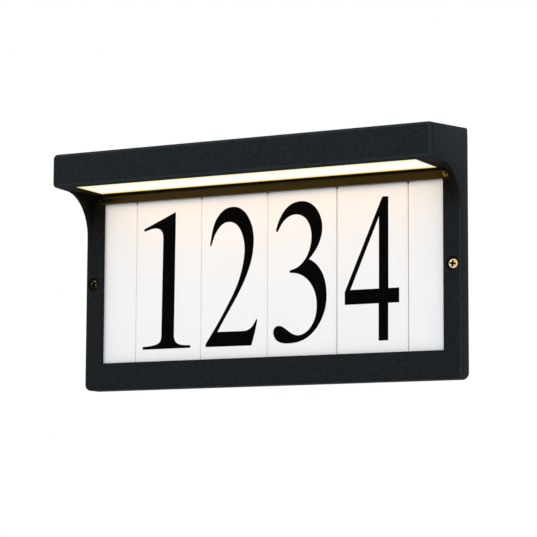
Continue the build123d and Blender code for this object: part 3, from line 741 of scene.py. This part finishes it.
# Numerals: each outline goes round its (x, z) points and ends where it starts. A point by itself
# is reached by a straight line, and a list of points by a smooth curve through them.
numeralShape = {
    "face": -10.0,
    "ink": 0.06,
    "pointsPerStep": 5,
    "one": [[
        (-75.9, 49.3), [(-75.5, 49.4), (-75.35, 49.0)], (-76.05, -40.3),
        [(-75.5, -43.1), (-74.0, -45.2), (-71.2, -46.6), (-67.0, -47.3), (-62.6, -47.5)],
        (-62.4, -47.7), (-62.4, -49.4), (-102.0, -49.4), (-102.0, -47.4),
        [(-97.0, -47.15), (-93.2, -46.6), (-90.0, -45.8), (-88.0, -44.5), (-86.9, -42.6), (-86.5, -40.0)],
        (-85.7, 30.5),
        [(-85.9, 33.2), (-86.7, 35.6), (-88.2, 37.3), (-90.4, 38.3), (-93.3, 38.5), (-96.8, 37.9),
         (-100.9, 36.7)],
        [(-101.6, 37.2), (-101.8, 38.4)]
    ]],
    "two": [[
        [(-45.9, 29.2), (-44.6, 35.2), (-42.6, 40.6), (-39.8, 44.8), (-36.6, 47.8), (-33.0, 49.6),
         (-29.0, 50.2), (-25.0, 49.75), (-21.4, 48.1), (-18.0, 45.1), (-15.1, 40.7), (-12.9, 35.5),
         (-11.8, 30.2), (-11.5, 24.8), (-11.95, 18.3), (-13.2, 11.5), (-15.4, 4.7), (-18.4, -2.4),
         (-22.2, -9.7), (-26.6, -17.1), (-31.6, -24.9), (-36.0, -31.8), (-40.3, -38.95)],
        (-20.5, -39.1),
        [(-17.2, -38.8), (-14.6, -37.8), (-12.4, -36.0), (-10.8, -33.9), (-9.5, -31.6)],
        [(-9.1, -31.15), (-8.5, -31.2), (-8.35, -32.0)], [(-10.2, -40.2), (-12.8, -49.2)], (-13.4, -49.6),
        (-49.9, -49.4), (-49.9, -47.3),
        [(-47.2, -43.4), (-42.0, -35.8), (-37.0, -28.0), (-32.0, -19.7), (-27.6, -12.0), (-24.3, -5.1),
         (-21.9, 1.5), (-20.2, 8.0), (-19.2, 14.0), (-18.85, 19.4), (-19.3, 24.4), (-20.6, 29.5),
         (-22.6, 33.8), (-25.2, 37.0), (-28.4, 38.9), (-31.8, 39.5), (-35.1, 38.9), (-38.2, 37.0),
         (-41.0, 33.8), (-43.4, 29.8), (-44.9, 25.6), (-45.6, 23.3)],
        [(-46.2, 22.8), (-46.8, 22.9), (-46.9, 23.5)]
    ]],
    "three": [[
        [(7.5, 35.2), (9.4, 39.6), (11.9, 43.6), (14.9, 46.8), (18.2, 49.0), (21.8, 50.25), (25.8, 50.65),
         (29.8, 50.15), (33.5, 48.6), (36.8, 46.0), (39.4, 42.6), (41.3, 38.6), (42.4, 34.4),
         (42.65, 30.1), (42.0, 25.6), (40.5, 20.9), (38.3, 16.7), (35.6, 12.9), (32.4, 9.25)],
        [(35.4, 7.6), (38.3, 5.2), (40.9, 2.1), (43.1, -1.7), (44.8, -6.4), (45.8, -12.0), (46.05, -17.8),
         (45.5, -23.4), (44.1, -28.8), (41.8, -33.9), (38.8, -38.6), (35.0, -42.7), (30.8, -45.8),
         (26.2, -47.9), (21.2, -49.0), (16.0, -49.3), (11.7, -48.9), (8.3, -47.7), (5.9, -45.6),
         (4.6, -42.9), (4.5, -40.0), (5.8, -37.6), (8.2, -36.65), (10.8, -37.0), (13.7, -38.7),
         (16.8, -40.9), (19.8, -42.8), (23.0, -43.75), (26.2, -43.55), (29.4, -42.2), (32.4, -39.9),
         (34.9, -36.7), (36.9, -32.6), (38.05, -27.7), (38.35, -22.6), (37.8, -17.6), (36.4, -12.9),
         (34.2, -8.8), (31.3, -5.2), (27.7, -2.35), (23.8, -0.6), (20.3, 0.1), (17.7, 0.3)],
        [(16.8, 1.1), (17.8, 2.2)],
        [(20.8, 3.0), (23.9, 4.4), (26.9, 6.8), (29.6, 9.9), (31.7, 13.6), (33.1, 17.6), (33.95, 21.8),
         (34.15, 26.0), (33.6, 30.3), (32.2, 34.3), (30.1, 37.6), (27.3, 39.9), (24.2, 41.15),
         (21.0, 41.45), (17.9, 40.8), (14.9, 39.3), (12.2, 37.1), (9.9, 33.9), (7.9, 30.4)],
        [(7.2, 29.9), (6.4, 30.2), (6.2, 30.9)]
    ]],
    "four": [[
        (88.55, 49.3), (88.9, 49.6), (93.0, 49.6), (93.25, 49.35), (93.2, -14.05), (101.3, -14.05),
        (101.3, -24.25), (93.05, -24.25), (93.0, -50.0), (85.75, -50.0), (85.8, -24.25), (60.0, -24.25),
        (60.0, -15.5), (60.55, -14.1)
    ], [
        (64.3, -14.05), (86.0, -14.05), (86.1, 35.9)
    ]],
}


def curveThrough(points, steps):
    # even curve through the points, its ends free
    before = [2 * points[0][i] - points[1][i] for i in (0, 1)]
    beyond = [2 * points[-1][i] - points[-2][i] for i in (0, 1)]
    row = [before] + list(points) + [beyond]
    line = []
    for a, b, c, d in zip(row, row[1:], row[2:], row[3:]):
        for k in range(steps):
            t = k / steps
            line.append([0.5 * (
                2 * b[i] + (c[i] - a[i]) * t + (2 * a[i] - 5 * b[i] + 4 * c[i] - d[i]) * t ** 2
                + (3 * b[i] - a[i] - 3 * c[i] + d[i]) * t ** 3) for i in (0, 1)])
    return line


def numeralMesh(name, loops):
    # one flat plate of ink, its counters left open
    curve = bpy.data.curves.new(name, "CURVE")
    curve.dimensions = "2D"
    curve.fill_mode = "BOTH"
    curve.extrude = numeralShape["ink"] / 2 * mm
    for loop in loops:
        runs = [run if isinstance(run, list) else [run] for run in loop]
        outline, start = [], runs[-1][-1]
        for run in runs:
            curved = len(run) > 1
            outline += curveThrough([start] + run, numeralShape["pointsPerStep"]) if curved else [start]
            start = run[-1]
        spline = curve.splines.new("POLY")
        spline.points.add(len(outline) - 1)
        for point, (x, z) in zip(spline.points, outline):
            point.co = (x * mm, z * mm, 0, 1)
        spline.use_cyclic_u = True
    mesh = evaluated(newObject(name + "Outline", curve))
    mesh.materials.clear()
    mesh.materials.append(numeralInk)
    placed(mesh, 0, numeralShape["face"], 0, (math.pi / 2, 0, 0))
    return cleanShell(mesh, sharpAngle=40)


for digit in ("one", "two", "three", "four"):
    mesh = numeralMesh(digit, numeralShape[digit])
    shownPiece("numeral" + digit.title(), mesh, "front", None)
print("numerals printed")


# Brass screws turned on a lathe, their threads wound by a tree and their crosses cut.
def makeThreadTree():
    tree, add, inputs = startTree("screwThread", {
        "Turns": "Float", "Length": "Float", "Root Radius": "Float", "Flank": "Float",
        "Metal": "Material"})
    helix = add("GeometryNodeCurveSpiral", {
        "Resolution": 20, "Rotations": inputs["Turns"], "Start Radius": inputs["Root Radius"],
        "End Radius": inputs["Root Radius"], "Height": inputs["Length"]})
    ridge = add("GeometryNodeCurvePrimitiveCircle", {"Resolution": 4, "Radius": inputs["Flank"]})
    wound = add("GeometryNodeCurveToMesh", {"Curve": helix, "Profile Curve": ridge, "Fill Caps": True})
    whole = add("GeometryNodeJoinGeometry", {"Geometry": [wound, inputs["Geometry"]]})
    endTree(add, whole, inputs["Metal"])
    return tree


threadTree = makeThreadTree()


# What both sizes of pan-head screw share. A name with Share in it is a part of the head's height
# or of the cross's size; the rest are millimetres, counts and one slope.
panHead = {"sideShare": 0.32, "undersideShare": 0.08, "underInset": 0.15, "seatGap": 0.01,
           "crownSteps": 9, "sides": 40, "plainShank": 0.6, "shankStep": 0.3, "point": 0.6,
           "pointTaper": 0.4, "threadFoot": 0.8, "threadMargin": 2.0, "threadBite": 0.02,
           "mouthShares": (1.04, 1.08), "mouthProud": 0.2, "floorShares": (0.5, 0.7),
           "recessShadeShare": 0.56, "recessShadeFrom": 0.1, "recessShadeBelow": 0.07, "recessShadeSlope": 0.55}
faceScrew = dict(panHead, head=7.8, headHeight=2.2, shank=4.0, length=9.3, pitch=0.7, threadDepth=0.3,
                 cross=5.2, crossSlot=1.45, crossDepth=1.6, x=142.3, seat=-11.3,
                 crossTurn={"Left": 28.0, "Right": -8.0})
barScrew = dict(panHead, head=5.2, headHeight=1.9, shank=3.0, length=5.0, pitch=0.5, threadDepth=0.2,
                cross=2.9, crossSlot=0.75, crossDepth=1.1, x=138.25, z=61.65, seat=-14.0)


def plusOutline(long, wide, z):
    a, b = long / 2, wide / 2
    return [(a, -b, z), (a, b, z), (b, b, z), (b, a, z), (-b, a, z), (-b, b, z),
            (-a, b, z), (-a, -b, z), (-b, -b, z), (-b, -a, z), (b, -a, z), (b, -b, z)]


def crossRecess(screw):
    # tapered cutter of a cross-head recess, its wide end up
    points = []
    for shares, z in ((screw["mouthShares"], screw["mouthProud"]),
                      (screw["floorShares"], -screw["crossDepth"])):
        points += plusOutline(screw["cross"] * shares[0], screw["crossSlot"] * shares[1], z)
    count = len(points) // 2
    sides = [(k, (k + 1) % count, count + (k + 1) % count, count + k) for k in range(count)]
    return points, sides + [tuple(range(count - 1, -1, -1)), tuple(range(count, 2 * count))]


def crownHeight(screw, out):
    # how high the head's crown stands at a distance out from its axis
    return screw["headHeight"] * (
        screw["sideShare"] + (1 - screw["sideShare"]) * math.sqrt(1 - (2 * out / screw["head"]) ** 2))


def screwProfile(screw):
    # from the middle of the crown down to the point, as (radius, height)
    head, shank, length = screw["head"] / 2, screw["shank"] / 2, screw["length"]
    core, plain = shank - screw["threadDepth"], screw["plainShank"]
    arc = [head * math.cos(math.pi / 2 * k / screw["crownSteps"]) for k in range(screw["crownSteps"])]
    crown = [(0, screw["headHeight"])] + [(out, crownHeight(screw, out)) for out in reversed(arc)]
    return crown + [
        (head, screw["undersideShare"] * screw["headHeight"]),
        (head - screw["underInset"], screw["seatGap"]), (shank, screw["seatGap"]), (shank, -plain),
        (core, -plain - screw["shankStep"]), (core, screw["point"] - length),
        (core - screw["pointTaper"], -length), (0, -length)]


def brassScrew(name, screw, brass):
    # pan head along +Z with its top up, shank down from the seat at 0
    blank = cleanShell(meshFrom(name, *turned(screwProfile(screw), screw["sides"]), brass))
    holder = newObject(name + "Blank", blank)
    tool = newObject(name + "Tool", cleanShell(meshFrom(name + "Tool", *crossRecess(screw), brass)))
    placed(tool.data, 0, 0, screw["headHeight"])
    cut = holder.modifiers.new("cross", "BOOLEAN")
    cut.operation, cut.solver, cut.object = "DIFFERENCE", "EXACT", tool
    body = evaluated(holder)
    bpy.data.objects.remove(tool)
    run, depth = screw["length"] - screw["threadMargin"], screw["threadDepth"]
    placed(body, 0, 0, screw["length"] - screw["threadFoot"])
    wound = grown(threadTree, body, {
        "Turns": run / screw["pitch"], "Length": run * mm, "Flank": depth * mm, "Metal": brass,
        "Root Radius": (screw["shank"] / 2 - depth - screw["threadBite"]) * mm}, sharpAngle=32)
    placed(wound, 0, 0, screw["threadFoot"] - screw["length"])
    # whatever lies below the crown inside the cross is the recess, painted near black as painted shade
    wound.materials.append(metals["recessShade"])
    for face in wound.polygons:
        x, y, z = [c / mm for c in face.center]
        out = math.hypot(x, y)
        inCross = z > screw["recessShadeFrom"] and out < screw["cross"] * screw["recessShadeShare"]
        sloped = face.normal.z < screw["recessShadeSlope"]
        if inCross and (sloped or z < crownHeight(screw, out) - screw["recessShadeBelow"]):
            face.material_index = len(wound.materials) - 1
    return wound


# the left face screw is a dark copy of the brass: painted shade and dark reflection where it sits in its
# counterbore
for side, word, brass in ((-1, "Left", "faceScrewShadeBrass"), (1, "Right", "lacqueredBrass")):
    mesh = brassScrew("faceScrew" + word, faceScrew, metals[brass])
    mesh.transform(Matrix.Rotation(math.radians(faceScrew["crossTurn"][word]), 4, "Z"))
    placed(mesh, side * faceScrew["x"], faceScrew["seat"], 0, (math.pi / 2, 0, 0))
    low = word.lower()
    shownPiece("faceScrew" + word, mesh, "screw_" + low, "face_screw_" + low)

barPair = []
# both bar screws are dark copies of the brass, painted shade under the hood, the left one darker
for side, brass in ((-1, "deepShadeBrass"), (1, "halfShadeBrass")):
    mesh = brassScrew("barScrew", barScrew, metals[brass])
    placed(mesh, side * barScrew["x"], barScrew["seat"], barScrew["z"], (math.pi / 2, 0, 0))
    barPair.append(mesh)
shownPiece("barScrews", joined("barScrews", barPair), "front", "tile_bar_screws")

washerShape = {"outer": 4.5, "inner": 2.05, "thickness": 0.8, "seat": -10.5, "x": 142.3, "sides": 48,
               "lip": (0.12, 0.1), "rim": (0.25, 0.06, 0.14)}


def washerSection():
    # round the washer's cut face, the small breaks of its inner lip and outer rim included
    inner, outer, thick = washerShape["inner"], washerShape["outer"], washerShape["thickness"]
    lipWide, lipHigh = washerShape["lip"]
    rimWide, rimSide, rimHigh = washerShape["rim"]
    return [(inner, lipHigh), (inner + lipWide, 0), (outer - rimWide, 0), (outer - rimSide, rimHigh),
            (outer, thick / 2), (outer - rimSide, thick - rimHigh), (outer - rimWide, thick),
            (inner + lipWide, thick), (inner, thick - lipHigh)]


for side, word in ((-1, "left"), (1, "right")):
    ring = turned(washerSection(), washerShape["sides"], ring=True)
    mesh = cleanShell(meshFrom("washer", *ring, softs["blackRubber"]), sharpAngle=50)
    placed(mesh, side * washerShape["x"], washerShape["seat"], 0, (math.pi / 2, 0, 0))
    shownPiece("faceWasher" + word.title(), mesh, "washer_" + word, "face_washer_" + word)
print("brass screws and washers seated")


# Hidden hex screws, set by one tree on the points it is given.
def makeHexTree():
    tree, add, inputs = startTree("hexScrews", {
        "Head": "Float", "Head Height": "Float", "Shank": "Float", "Length": "Float",
        "Turns": "Float", "Turn": "Vector", "Metal": "Material"})

    # every size is a share of the head, its height, the shank or the length
    shareTable = {
        "Head": {"flats": 0.47, "flatTop": 0.34, "flange": 0.5, "flangeTop": 0.44},
        "Head Height": {"flatHigh": 0.6, "crownHigh": 0.16, "flangeHigh": 0.24, "flatLift": 0.54,
                        "crownLift": 0.835},
        "Shank": {"core": 0.42, "flank": 0.08},
        "Length": {"run": 0.6, "shankLift": -0.5, "threadLift": -0.78},
    }
    size = {}
    for source, row in shareTable.items():
        for label, share in row.items():
            size[label] = add("ShaderNodeMath", {0: inputs[source], 1: share}, operation="MULTIPLY")
    flats = add("GeometryNodeMeshCylinder", {
        "Vertices": 6, "Radius": size["flats"], "Depth": size["flatHigh"]})
    crown = add("GeometryNodeMeshCone", {
        "Vertices": 6, "Radius Top": size["flatTop"], "Radius Bottom": size["flats"],
        "Depth": size["crownHigh"]})
    flange = add("GeometryNodeMeshCone", {
        "Vertices": 24, "Radius Top": size["flangeTop"], "Radius Bottom": size["flange"],
        "Depth": size["flangeHigh"]})
    shank = add("GeometryNodeMeshCylinder", {
        "Vertices": 16, "Radius": size["core"], "Depth": inputs["Length"]})
    ridges = add("GeometryNodeCurveSpiral", {
        "Resolution": 12, "Rotations": inputs["Turns"], "Start Radius": size["core"],
        "End Radius": size["core"], "Height": size["run"]})
    flank = add("GeometryNodeCurvePrimitiveCircle", {"Resolution": 3, "Radius": size["flank"]})
    thread = add("GeometryNodeCurveToMesh", {"Curve": ridges, "Profile Curve": flank, "Fill Caps": True})
    stack = [flange]
    for part, lift in ((flats, "flatLift"), (crown, "crownLift"), (shank, "shankLift"),
                       (thread, "threadLift")):
        up = add("ShaderNodeCombineXYZ", {"Z": size[lift]})
        stack.append(add("GeometryNodeTransform", {"Geometry": part, "Translation": up}))
    screw = add("GeometryNodeJoinGeometry", {"Geometry": stack})
    turnedScrew = add("GeometryNodeTransform", {"Geometry": screw, "Rotation": inputs["Turn"]})
    spots = add("GeometryNodeMeshToPoints", {"Mesh": inputs["Geometry"]})
    row = add("GeometryNodeInstanceOnPoints", {"Points": spots, "Instance": turnedScrew})
    endTree(add, row, inputs["Metal"])
    return tree


hexTree = makeHexTree()
smallScrew = {"body": "front", "head": 5.2, "headHeight": 1.9, "shank": 3.0, "length": 5.0,
              "turnsPerMm": 1.4, "turn": (-math.pi / 2, 0, 0), "slot": "small_screw_steel",
              "metal": "zincPlatedScrew"}
hexSets = {
    "boardScrews": dict(smallScrew, node="led_board_screws", turn=(math.pi, 0, 0),
                        places=[(x, -37.0, 82.8) for x in (-112, -36, 36, 112)]),
    "driverScrews": dict(smallScrew, node="driver_screws",
                         places=[(x, -16.0, 80.0) for x in (-64, 54)]),
    "coverScrews": dict(smallScrew, node="driver_cover_screws", headHeight=0.95,
                        places=[(x, -2.8, z) for x in (-127, 127) for z in (69.8, 87.95)]),
    "groundScrew": dict(smallScrew, node="ground_screw", body="wall_mount", head=6.4, headHeight=1.8,
                        shank=4.0, length=1.5, turn=(math.pi / 2, 0, 0), slot="ground_green",
                        metal="greenGroundScrew", places=[(30.0, -1.5, -28.0)]),
}
for name, screw in hexSets.items():
    points = bpy.data.meshes.new("places")
    points.from_pydata(inMetres(screw["places"]), [], [])
    mesh = grown(hexTree, points, {
        "Head": screw["head"] * mm, "Head Height": screw["headHeight"] * mm,
        "Shank": screw["shank"] * mm, "Length": screw["length"] * mm,
        "Turns": screw["length"] * screw["turnsPerMm"], "Turn": screw["turn"],
        "Metal": metals[screw["metal"]]}, sharpAngle=30)
    shownPiece(name, mesh, screw["body"], screw["node"])
print("hidden screws set")


# Light packages in a row on the board: a white cup with a phosphor square sunk in it.
def makePackageTree():
    tree, add, inputs = startTree("lightPackages", {
        "Count": "Int", "Pitch": "Float", "Size": "Float", "Height": "Float", "Mouth": "Float",
        "Sink": "Float", "Cup": "Material", "Phosphor": "Material"})
    apart = add("ShaderNodeCombineXYZ", {"X": inputs["Pitch"]})
    row = add("GeometryNodeMeshLine", {"Count": inputs["Count"], "Offset": apart})
    size = add("ShaderNodeCombineXYZ", {"X": inputs["Size"], "Y": inputs["Size"], "Z": inputs["Height"]})
    cup = add("GeometryNodeMeshCube", {"Size": size})
    normal = add("GeometryNodeInputNormal")
    facing = add("ShaderNodeSeparateXYZ", {"Vector": normal})
    down = add("FunctionNodeCompare", {0: facing.outputs["Z"], 1: -0.5}, operation="LESS_THAN")
    rim = add("GeometryNodeExtrudeMesh", {"Mesh": cup, "Selection": down, "Offset Scale": 0.0})
    rimmed = add("GeometryNodeScaleElements", {
        "Geometry": rim, "Selection": rim.outputs["Top"], "Scale": inputs["Mouth"]})
    sunk = add("GeometryNodeExtrudeMesh", {
        "Mesh": rimmed, "Selection": rim.outputs["Top"], "Offset Scale": inputs["Sink"]})
    placedRow = add("GeometryNodeInstanceOnPoints", {"Points": row, "Instance": sunk})
    endTree(add, placedRow, inputs["Cup"], sunk.outputs["Top"], inputs["Phosphor"])
    return tree


packageTree = makePackageTree()
packageRow = {"count": 12, "pitch": 18.0, "size": 3.0, "height": 0.8, "mouth": 0.78, "sink": 0.15,
              "y": -37.0, "boardBottom": 82.8}
row = packageRow
rowMesh = grown(packageTree, pathMesh([(0, 0, 0), (1, 0, 0)]), {
    "Count": row["count"], "Pitch": row["pitch"] * mm, "Size": row["size"] * mm,
    "Height": row["height"] * mm, "Mouth": row["mouth"], "Sink": -row["sink"] * mm,
    "Cup": softs["whiteNylon"], "Phosphor": phosphor})
placed(rowMesh, -row["pitch"] * (row["count"] - 1) / 2, row["y"],
       row["boardBottom"] - row["height"] / 2)
shownPiece("lightPackages", rowMesh, "front", "led_packages")


# Leads from the plug on the board, through the divider and along to the driver.
def makeLeadTree():
    tree, add, inputs = startTree("boardLeads", {
        "Bend": "Float", "Radius": "Float", "Sleeve": "Material"})
    route = add("GeometryNodeMeshToCurve", {"Mesh": inputs["Geometry"]})
    bent = add("GeometryNodeFilletCurve", {
        "Curve": route, "Count": 8, "Radius": inputs["Bend"]}, mode="POLY")
    section = add("GeometryNodeCurvePrimitiveCircle", {"Resolution": 14, "Radius": inputs["Radius"]})
    tube = add("GeometryNodeCurveToMesh", {"Curve": bent, "Profile Curve": section, "Fill Caps": True})
    endTree(add, tube, inputs["Sleeve"])
    return tree


leadTree = makeLeadTree()
leadShape = {"diameter": 1.4, "bend": 6.0, "plugX": 122.0, "plugBack": -34.0, "runY": -11.5,
             "driverEnd": 50.0, "heights": (79.0, 81.6)}


def leadRoute(z):
    lead = leadShape
    return [(lead["plugX"], lead["plugBack"], z), (lead["plugX"], lead["runY"], z),
            (lead["driverEnd"], lead["runY"], z)]


leadPair = [grown(leadTree, pathMesh(leadRoute(z)), {
    "Bend": leadShape["bend"] * mm, "Radius": leadShape["diameter"] / 2 * mm,
    "Sleeve": softs["leadSleeve"]}) for z in leadShape["heights"]]
shownPiece("boardLeads", joined("boardLeads", leadPair), "front", "led_leads")

# Rubber bushes: moulded rings whose lips roll over the sheet they sit in.
bushSides = 56
bushShapes = {
    "wireBush": {"node": "wire_bush", "body": "wall_mount", "x": 0.0, "z": 0.0, "back": 0.0,
                 "section": [(5.0, 0.3), (5.2, 0.0), (6.8, 0.0), (7.0, 0.15), (7.0, 1.5), (7.9, 1.5),
                             (8.2, 1.7), (8.2, 2.0), (7.9, 2.25), (5.6, 2.3), (5.15, 2.1),
                             (5.0, 1.8)]},
    "supplyInlet": {"node": "supply_inlet", "body": "front", "x": -100.0, "z": 80.3, "back": -2.0,
                    "section": [(3.5, 0.35), (3.75, 0.0), (6.9, 0.0), (7.2, 0.25), (7.2, 0.6), (7.0, 0.8),
                                (6.0, 0.8), (6.0, 1.8), (7.0, 1.8), (7.2, 2.0), (7.2, 2.35), (6.9, 2.6),
                                (3.75, 2.6), (3.5, 2.25)]},
}
for name, bush in bushShapes.items():
    ring = turned(bush["section"], bushSides, ring=True)
    mesh = cleanShell(meshFrom(name, *ring, softs["blackRubber"]), sharpAngle=45)
    placed(mesh, bush["x"], bush["back"], bush["z"], (math.pi / 2, 0, 0))
    shownPiece(name, mesh, bush["body"], bush["node"])
print("leads, packages and bushes in place")


# Studio: soft white surroundings, one broad lamp, a pale floor well below the sign, the panel's
# own glow, and the camera where the photograph was taken from.
studio = {
    "surroundings": 1.12,
    "surroundingsColour": "#fbfcff",
    "floorZ": -0.36,
    "floorSize": 6.0,
    "floorShades": [(0.3, "#d9d9d8"), (0.7, "#dcdcdb")],
    "paperGrain": 40.0,
    "lampPower": 2.0,
    "lampSize": 1.6,
    "lampPlace": (-0.9, -1.7, 1.3),
    "glowPower": 0.029,
    "glowColour": "#ffbc6c",
    "glowSize": (264.0, 34.0),
    "glowPlace": (0.0, -37.0, 64.6),
    "cameraPlace": (0.732457, -1.406251, -0.1912),
    "turn": 0.4829,
    "tilt": 0.1234,
    "roll": 0.0046,
    "lens": 151.1,
    "sensor": 36.0,
}


def makeSurroundings():
    world = bpy.data.worlds.new("whiteStudio")
    bpy.context.scene.world = world
    world.use_nodes = True
    world.node_tree.nodes.clear()
    add = partial(addNode, world.node_tree)
    rays = add("ShaderNodeLightPath")
    seen = add("ShaderNodeMath", {
        0: rays.outputs["Is Camera Ray"], 1: rays.outputs["Is Glossy Ray"]}, operation="MAXIMUM")
    seen = add("ShaderNodeMath", {0: seen, 1: rays.outputs["Is Transmission Ray"]}, operation="MAXIMUM")
    soft = add("ShaderNodeBackground", {
        "Color": hexColour(studio["surroundingsColour"]), "Strength": studio["surroundings"]})
    white = add("ShaderNodeBackground", {"Color": hexColour("#ffffff")})
    both = add("ShaderNodeMixShader", {0: seen, 1: soft, 2: white})
    add("ShaderNodeOutputWorld", {"Surface": both})


def makeFloor():
    material, add, shader, place = startFinish("paleFloor", {"Roughness": 0.9, "Specular IOR Level": 0.1})
    paper = add("ShaderNodeTexNoise", {
        "Vector": place, "Scale": 1 / (studio["paperGrain"] * mm), "Detail": 3.0})
    dressSurface(add, shader, (paper, studio["floorShades"]), [])
    half, z = studio["floorSize"] / 2, studio["floorZ"]
    corners = [(-half, -half, z), (half, -half, z), (half, half, z), (-half, half, z)]
    mesh = bpy.data.meshes.new("floor")
    mesh.from_pydata(corners, [], [(0, 1, 2, 3)])
    mesh.materials.append(material)
    floor = newObject("floor", mesh)


def makeLamp():
    data = bpy.data.lights.new("softBox", "AREA")
    data.energy, data.size = studio["lampPower"], studio["lampSize"]
    lamp = newObject("softBox", data)
    lamp.location = studio["lampPlace"]
    lamp.rotation_euler = (-Vector(studio["lampPlace"])).to_track_quat("-Z", "Y").to_euler()


def makeGlow():
    # the light that the panel throws down on the tiles
    data = bpy.data.lights.new("panelGlow", "AREA")
    data.shape = "RECTANGLE"
    data.size, data.size_y = [c * mm for c in studio["glowSize"]]
    data.energy = studio["glowPower"]
    data.color = hexColour(studio["glowColour"])[:3]
    glow = newObject("panelGlow", data)
    glow.location = [c * mm for c in studio["glowPlace"]]
    glow.visible_camera = False
    glow.visible_glossy = False
    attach(glow, "front")


def makeCamera():
    turn, tilt, roll = studio["turn"], studio["tilt"], studio["roll"]
    ahead = Vector((-math.sin(turn) * math.cos(tilt), math.cos(turn) * math.cos(tilt), math.sin(tilt)))
    level = Vector((math.cos(turn), math.sin(turn), 0))
    above = level.cross(ahead)
    right = level * math.cos(roll) + above * math.sin(roll)
    up = above * math.cos(roll) - level * math.sin(roll)
    data = bpy.data.cameras.new("photoCamera")
    data.lens, data.sensor_width = studio["lens"], studio["sensor"]
    camera = newObject("photoCamera", data)
    camera.matrix_world = Matrix.Translation(studio["cameraPlace"]) @ Matrix(
        (right, up, -ahead)).transposed().to_4x4()
    bpy.context.scene.camera = camera


makeSurroundings()
makeFloor()
makeLamp()
makeGlow()
makeCamera()
bpy.context.scene.view_settings.view_transform = "Standard"

print("scene ready")
